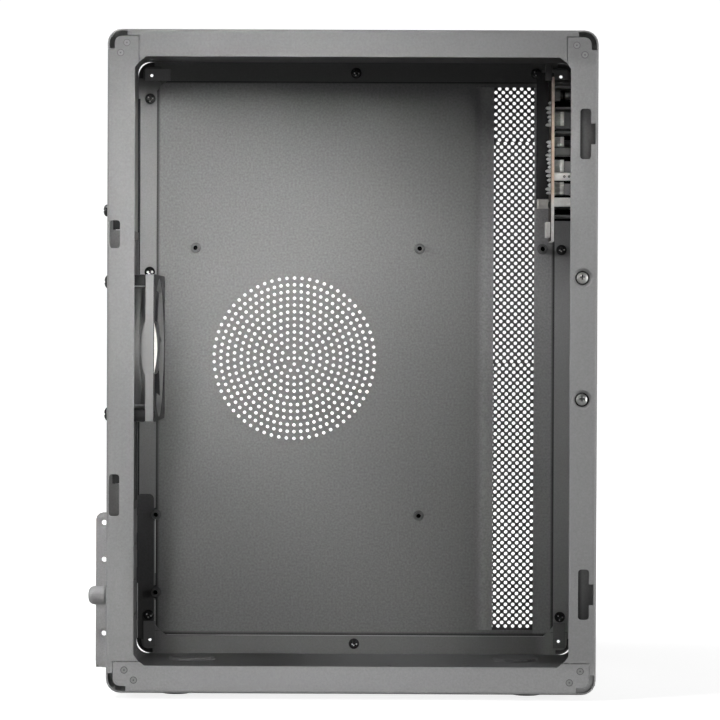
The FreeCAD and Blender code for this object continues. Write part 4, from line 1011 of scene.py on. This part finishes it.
fan_axis = (0, *FAN_SPOT)
low, high = [[c + side * FAN_HALF for c in FAN_SPOT] for side in (-1, 1)]
fan_square = round_plate(low, high, FAN_CORNER, 6)
fan_cuts = [round_hole(*FAN_SPOT, FAN_BORE, 96), *[round_hole(y, z, 2.2, 20) for y, z in FAN_HOLES]]
rear_flange = pierced_sheet("x", FAN_REAR, FAN_REAR + REAR_FLANGE, fan_square, fan_cuts)
inner_flange = pierced_sheet("x", FAN_GREY[1], FAN_FRONT, fan_square, fan_cuts)
posts = [post(i, j) for i in (-1, 1) for j in (-1, 1)]
motor = turned("x", fan_axis, [(FAN_REAR, 0), (FAN_REAR, 13.6), (FAN_REAR + 0.4, 14.0),
                               (FAN_REAR + STRUT, 14.0), (FAN_REAR + STRUT, 4.0), (-111.5, 4.0),
                               (-111.5, 1.6), (FAN_REAR + 1.4, 1.6), (FAN_REAR + 1.4, 0)], 64)
struts = [strut(45 + 90 * k) for k in range(4)]
make_piece("fan_housing", joined(rear_flange, inner_flange, *posts, motor, *struts), fan_black,
           stands_for=["fan_frame"])

# %% [markdown]
# ## Edge of the fan
# The inner flange is grey towards the duct. On its near edge the round mouth bulges as a flat lens
# on both sides of the flange: the grey one towards the duct, and towards the inside a white one that
# is a painted highlight on the mouth. The duct's pale grey is painted light, and thin pale bars at
# the corner posts are painted highlights.

# %% Fan edge
POST_HIGHLIGHT_HEIGHTS = (218.4, 154.3)
LENS_STEPS = 12


def lens(edge, crown, half):
    """Outline of a flat lens that bulges from an edge of the flange to a crown."""
    shares = [k / LENS_STEPS for k in range(-LENS_STEPS, LENS_STEPS + 1)]
    return [(edge + (crown - edge) * (1 - t * t), FAN_SPOT[1] + half * t) for t in shares]


near_side = FAN_SPOT[0] - FAN_HALF
grey_flange = pierced_sheet("x", *FAN_GREY, fan_square, fan_cuts)
bottom, top = FAN_SPOT[1] - 39.6, FAN_SPOT[1] + 39.6
outline = [(FAN_GREY[1], bottom), (FAN_GREY[0], bottom), *lens(FAN_GREY[0], -107.9, 14.6),
           (FAN_GREY[0], top), (FAN_GREY[1], top)]
cover = pierced_sheet("y", near_side - 0.35, near_side + 0.2, outline, [])
make_piece("fan_grey_flange", joined(grey_flange, cover), fan_grey)
duct = turned("x", fan_axis, [(FAN_REAR, FAN_BORE), (FAN_REAR, 38.7), (-113.0, 38.9), (-110.4, 39.3),
                              (-109.2, 39.7), (-108.3, 39.7), (-107.8, 39.3), (-107.6, 38.4),
                              (FAN_GREY[0], 38.4), (FAN_GREY[0], FAN_BORE)], 96, closed=True)
edges = [soft_block((-116.4, near_side, z - 0.3), (FAN_GREY[0] - 0.2, near_side + 0.5, z + 0.3), 0.1)
         for z in POST_HIGHLIGHT_HEIGHTS]
make_piece("fan_duct", joined(duct, *edges), duct_lit_grey)
mouth_highlight = pierced_sheet("y", near_side, near_side + 0.9, lens(FAN_FRONT, -98.8, 13.7), [])
make_piece("fan_mouth_highlight", mouth_highlight, white_plastic_and_highlight)

# %% [markdown]
# ## Fan rotor
# The rotor has a hub and seven twisted blades. It is its own piece on its own body, so that it can
# spin. A blade is a grid of points from hub to tip, doubled for its thickness and closed round its
# edge. The pitch falls towards the tip, as on a real fan.

# %% Fan rotor
HUB_START, HUB_END, HUB_RADIUS, HUB_BORE = -116.5, -101.5, 14.5, 12.9
SHAFT_END, SHAFT_RADIUS = -118.9, 1.5
BLADES, BLADE_ROOT, BLADE_LENGTH = 7, 14.0, 23.0
ROOT_PITCH, PITCH_FALL, TIP_SWEEP = 52, 22, 16
BLADE_CAMBER, BLADE_HALF = 1.3, 0.5


def blade(number, rings=9, steps=8):
    """One twisted blade as a thin closed shell."""
    points, faces = [], []
    base = 2 * math.pi * number / BLADES
    middle, deep = (HUB_START + HUB_END) / 2, HUB_END - HUB_START - 1.6
    for side in (-1, 1):
        for i in range(rings):
            share = i / (rings - 1)
            r = BLADE_ROOT + BLADE_LENGTH * share
            pitch = math.radians(ROOT_PITCH - PITCH_FALL * share)
            sweep = math.radians(TIP_SWEEP * share ** 1.4)
            for j in range(steps + 1):
                t = j / steps - 0.5
                camber = BLADE_CAMBER * (1 - 4 * t * t)
                x = middle + deep * t + side * BLADE_HALF * (1 - 3 * t * t)
                arc = deep * t / math.tan(pitch) + camber
                turn = base + sweep + arc / r
                points.append((x, FAN_SPOT[0] + r * math.sin(turn), FAN_SPOT[1] + r * math.cos(turn)))
    count = rings * (steps + 1)
    for side in (0, count):
        for i in range(rings - 1):
            for j in range(steps):
                a = side + i * (steps + 1) + j
                faces.append((a, a + 1, a + steps + 2, a + steps + 1))
    edge = list(range(steps + 1))
    edge += [i * (steps + 1) + steps for i in range(1, rings)]
    edge += [(rings - 1) * (steps + 1) + j for j in range(steps - 1, -1, -1)]
    edge += [i * (steps + 1) for i in range(rings - 2, 0, -1)]
    for a, b in zip(edge, edge[1:] + edge[:1]):
        faces.append((a, b, b + count, a + count))
    return points, faces


hub = turned("x", fan_axis, [(HUB_START, HUB_BORE), (HUB_START, HUB_RADIUS), (HUB_END - 1.2, HUB_RADIUS),
                             (HUB_END - 0.3, 14.1), (HUB_END, 13.2), (HUB_END, 0)], 64)
cup = turned("x", fan_axis, [(HUB_START, HUB_BORE), (HUB_END - 1.6, HUB_BORE), (HUB_END - 1.6, SHAFT_RADIUS),
                             (SHAFT_END, SHAFT_RADIUS), (SHAFT_END, 0)], 64)
make_piece("fan_blades", joined(hub, cup, *[blade(k) for k in range(BLADES)]), blade_grey,
           body="fan_rotor", stands_for=["fan_rotor"])

# %% [markdown]
# ## Thumbscrew and card-screw holes
# The thumbscrew has a knurled knob: a turned shape whose radius goes in and out from tooth to
# tooth. A low rim rings each of the four open card-screw holes beside it.

# %% Thumbscrew
KNOB_AXIS = (0, -45.0, 50.26)
KNURL_SHARE, KNOB_THREAD, KNOB_THREAD_STEP = 0.985, -123.9, 0.78
CARD_HOLES = (88.74, 68.42, 48.1, 27.78)

teeth = [(-136.8, 0), (-136.8, 1.6), (-136.6, 2.8), (-136.1, 3.8), (-135.3, 4.5), (-134.3, 4.9),
         (-133.2, 5.1), (-128.0, 5.1), (-127.5, 4.6), (-127.4, 3.4)]
knob = turned("x", KNOB_AXIS, teeth, 96, ripple=lambda k: 1.0 if k % 4 < 2 else KNURL_SHARE)
collar = turned("x", KNOB_AXIS, [(-127.4, 3.4), (-124.4, 3.4), (KNOB_THREAD, 3.0), (KNOB_THREAD, 1.5)], 48)
thread = []
for k in range(9):
    along = KNOB_THREAD + KNOB_THREAD_STEP * k
    thread += [(along, 1.5), (along + 0.4, 1.3)]
shank = turned("x", KNOB_AXIS, thread + [(-116.9, 1.2), (-116.8, 0)], 48)
make_piece("thumbscrew_knob", joined(knob, collar, shank), knob_and_glint_grey,
           body="retainer_thumbscrew", stands_for=["retainer_thumbscrew"])
rim = [(0.5, 1.95), (-0.1, 1.95), (-0.25, 1.75), (-0.1, 1.5), (0.5, 1.5)]
rims = [turned("y", (-130.0, -28.4, z), rim, 24) for z in CARD_HOLES]
make_piece("retainer_rims", joined(*rims), retainer_lit_coat)

# %% [markdown]
# ## Feet and button
# The feet are soft turned pads with a rounded lower edge, and the power button is a low dome in the
# front wall with a collar behind it that keeps it from falling out. A turned profile makes each.

# %% Feet and button
FOOT_SPOTS = [(x, y, 0) for x in (-87.4, 100.6) for y in (-66, 64)]
BUTTON_AXIS = (0, -29.0, 324.2)

foot_profile = [(0, 0), (0, 7.6), (0.25, 8.8), (0.9, 9.6), (1.8, 9.95), (4.4, 10.0), (4.45, 0)]
pads = [turned("z", spot, foot_profile, 48) for spot in FOOT_SPOTS]
make_piece("rubber_feet", joined(*pads), rubber,
           stands_for=["foot_1", "foot_2", "foot_3", "foot_4"])
cap = [(122.3, 0), (122.3, 2.2), (133.7, 2.2), (133.7, 5.4), (134.9, 5.4), (134.9, 4.4), (136.3, 4.4),
       (136.6, 4.1), (136.72, 3.6), (136.6, 2.6), (136.5, 0)]
make_piece("button_cap", turned("x", BUTTON_AXIS, cap, 64), button_plastic,
           body="power_button", stands_for=["power_button"])

# %% [markdown]
# ## Port board
# On the board's near edge the camera sees the ports from the side: pale moulded blocks with ribs,
# a dark one, and a bracket tab with two dimples. The solids carry the plain ports, and these pieces
# add what shows. Heights are measured in picture rows, so a function turns a row into millimetres.

# %% Port blocks
ROW_ZERO, ROW_HEIGHT, ROW_STEP = 112, 314.78, 0.5459
PORT_SIDE = 116.0
PORT_ROWS = ((112, 126), (137, 147), (160, 172), (182, 195))
RIB_STEP, RIB_SHARE = 1.7, 0.33
RIB_COLUMNS = ((116.3, 118.5), (119.0, 121.1))


def port_height(row):
    """Height on the port board of a picture row, at the board's near edge."""
    return ROW_HEIGHT - ROW_STEP * (row - ROW_ZERO)


def ribbed_block(low, high):
    """Pale block with two columns of small ribs on its near side."""
    parts = [soft_block((PORT_SIDE, -38.2, low), (121.3, -35.9, high), 0.25)]
    ribs = max(2, round((high - low) / RIB_STEP))
    step = (high - low) / ribs
    for k in range(ribs):
        z = low + step * (k + 0.5)
        for x0, x1 in RIB_COLUMNS:
            low_rib, high_rib = z - step * RIB_SHARE, z + step * RIB_SHARE
            parts.append(soft_block((x0, -38.7, low_rib), (x1, -38.0, high_rib), 0.15))
    return joined(*parts)


def port_bar(rows, front, back, edge):
    """Bar from the board to the front wall, between two picture rows."""
    upper, lower = (port_height(row) for row in rows)
    return soft_block((PORT_SIDE, front, lower), (FRONT_INSIDE, back, upper), edge)


blocks = [ribbed_block(port_height(lower), port_height(upper)) for upper, lower in PORT_ROWS]
make_piece("port_blocks", joined(*blocks), port_pale)
make_piece("port_dark_block", port_bar((148, 157), -40.6, -39.2, 0.3), port_black)
make_piece("port_tabs", port_bar((173, 181), -40.8, -39.4, 0.3), tab_pale)
dimple = [(0.02, 0), (-0.03, 0.5), (0.0, 0.7), (0.1, 0.75)]
dots = [turned("y", (x, -40.8, port_height(177)), dimple, 16) for x in (121.4, 124.0)]
make_piece("port_tab_dots", joined(*dots), port_black)

# %% [markdown]
# ## Bracket, shroud and solder
# A bracket and a lug hold the board, a dark shroud and a wire guard stand behind it, and its solder
# side has a brown mask and two rows of shiny tails. No two solder joints are alike, so length and
# width change from tail to tail in a fixed pattern.

# %% Bracket, shroud and solder
TAIL_ROWS = (103, 108, 112.4, 117, 121, 125, 142, 146, 151, 155, 159, 163, 167, 171, 175.6, 180,
             185, 189, 193)
TAIL_LINES = (-38.4, -33.0)

lug = soft_block((110.9, -40.4, 331.6), (114.6, -38.0, 340.0), 0.3)
make_piece("port_lug", lug, frame_plastic)
bracket = soft_block((108.4, -17.8, 262.7), (114.3, -17.0, 267.8), 0.15)
bracket_lip = soft_block((107.8, -19.6, 262.7), (108.8, -17.0, 267.8), 0.2)
make_piece("port_bracket", joined(bracket, port_bar((198, 207), -41.0, -40.2, 0.15), bracket_lip), tab_pale)
mask = soft_block((114.1, -39.7, 244.4), (114.38, -18.2, 333.2), 0.05)
make_piece("board_solder_mask", mask, board_brown)
shroud = soft_block((116.6, -15.7, 256.0), (FRONT_INSIDE, -14.9, 329.0), 0.2)
make_piece("port_shroud", shroud, black_shroud_and_bore_shade)
wire_guard = soft_block((107.4, -15.85, 264.0), (117.0, -15.2, 338.0), 0.2)
make_piece("port_wire_guard", wire_guard, dark_guard_and_shade)
tails = []
for k, row in enumerate(TAIL_ROWS):
    long, wide = 1.5 + 0.45 * (k * 7 % 4), 0.75 + 0.12 * (k * 5 % 3)
    tail = [(0, wide + 0.25), (-0.3 * long, wide), (-0.75 * long, 0.8 * wide), (-long, 0.4 * wide),
            (-long - 0.1, 0)]
    tails += [turned("x", (BOARD_FACE, y, port_height(row)), tail, 14) for y in TAIL_LINES]
make_piece("solder_tails", joined(*tails), solder)

# %% [markdown]
# ## Pockets behind the slots
# Seen through the hook slots of the near bars, the inside of the case is closed off by the folded
# wall of a pocket. Thin plates give that wall; their coat is darkened as painted shade, most at one
# edge. They stand behind the space that a hook needs, and in the half slots a dark plate is painted
# shade and a narrow bright edge is a painted highlight on the fold of the pocket.

# %% Slot pockets
HOOK_MIDDLES, HOOK_HALF = (299.0, 56.1), 16.5
HALF_SLOT_MIDDLES, HALF_SLOT_HALF = (245.3, 107.5), 14
HALF_SLOT_TOPS = (253.0, 118.9)

pockets = [soft_block((124.6, -85.9, z - HOOK_HALF), (FRONT_INSIDE, -85.2, z + HOOK_HALF), 0.2)
           for z in HOOK_MIDDLES]
pockets += [soft_block((REAR_INSIDE, -92.1, z - HALF_SLOT_HALF), (-112.5, -91.4, z + HALF_SLOT_HALF), 0.2)
            for z in HALF_SLOT_MIDDLES]
make_piece("slot_pockets", joined(*pockets), pocket_shade_coat)
darks = [soft_block((-119.8, -92.4, z - 5.2), (-115.2, -92.0, z), 0.1) for z in HALF_SLOT_TOPS]
make_piece("slot_shadows", joined(*darks), dark_guard_and_shade)
glints = [soft_block((-118.4, -92.45, z - 5.5), (-116.0, -92.0, z - 5.1), 0.12) for z in HALF_SLOT_TOPS]
make_piece("slot_glints", joined(*glints), knob_and_glint_grey)

# %% [markdown]
# ## Far flange
# Low on the rear flange lies a dark plate beside the card slots. A dark strip in the corner above it
# is painted shade, and fine bright lines along edges of the sheet are painted highlights. Behind a far
# corner two small plates close the gap between tray and wall, in a dark coat of painted shade. Thin
# plates and bars are enough for all of them.

# %% Far flange
EDGE_HIGHLIGHT_SPANS = ((51.3, 83.7), (20.0, 35.4))
BACKING = (93.3, 93.9)

side_plate = pierced_sheet("y", 91.5, FLANGE_FACE, round_plate((-121.9, 12.4), (-111.8, 98.0), 3.0), [])
make_piece("slot_side_plate", side_plate, shade_coat)
corner_shade = soft_block((REAR_INSIDE, 91.5, 97.0), (-120.5, 92.05, 331.0), 0.1)
make_piece("corner_shade_strip", corner_shade, dark_guard_and_shade)
edge_highlights = [soft_block((-111.2, 91.5, low), (-110.7, 92.05, high), 0.1) for low, high in EDGE_HIGHLIGHT_SPANS]
edge_highlights.append(soft_block((-121.5, 91.35, 13.0), (-121.1, FLANGE_FACE, 45.4), 0.1))
make_piece("flange_edge_highlights", joined(*edge_highlights), painted_glint_grey)
near, far = BACKING
backing = joined(soft_block((130.0, near, 343.0), (FRONT_INSIDE, far, 347.9), 0.1),
                 soft_block((124.4, near, 347.7), (FRONT_INSIDE, far, 352.6), 0.1))
make_piece("corner_backing", backing, shade_coat)
floor_edge_glint = soft_block((-104.0, 91.7, 14.7), (119.0, 92.05, 15.05), 0.08)
make_piece("floor_edge_highlight", floor_edge_glint, edge_highlight_grey)
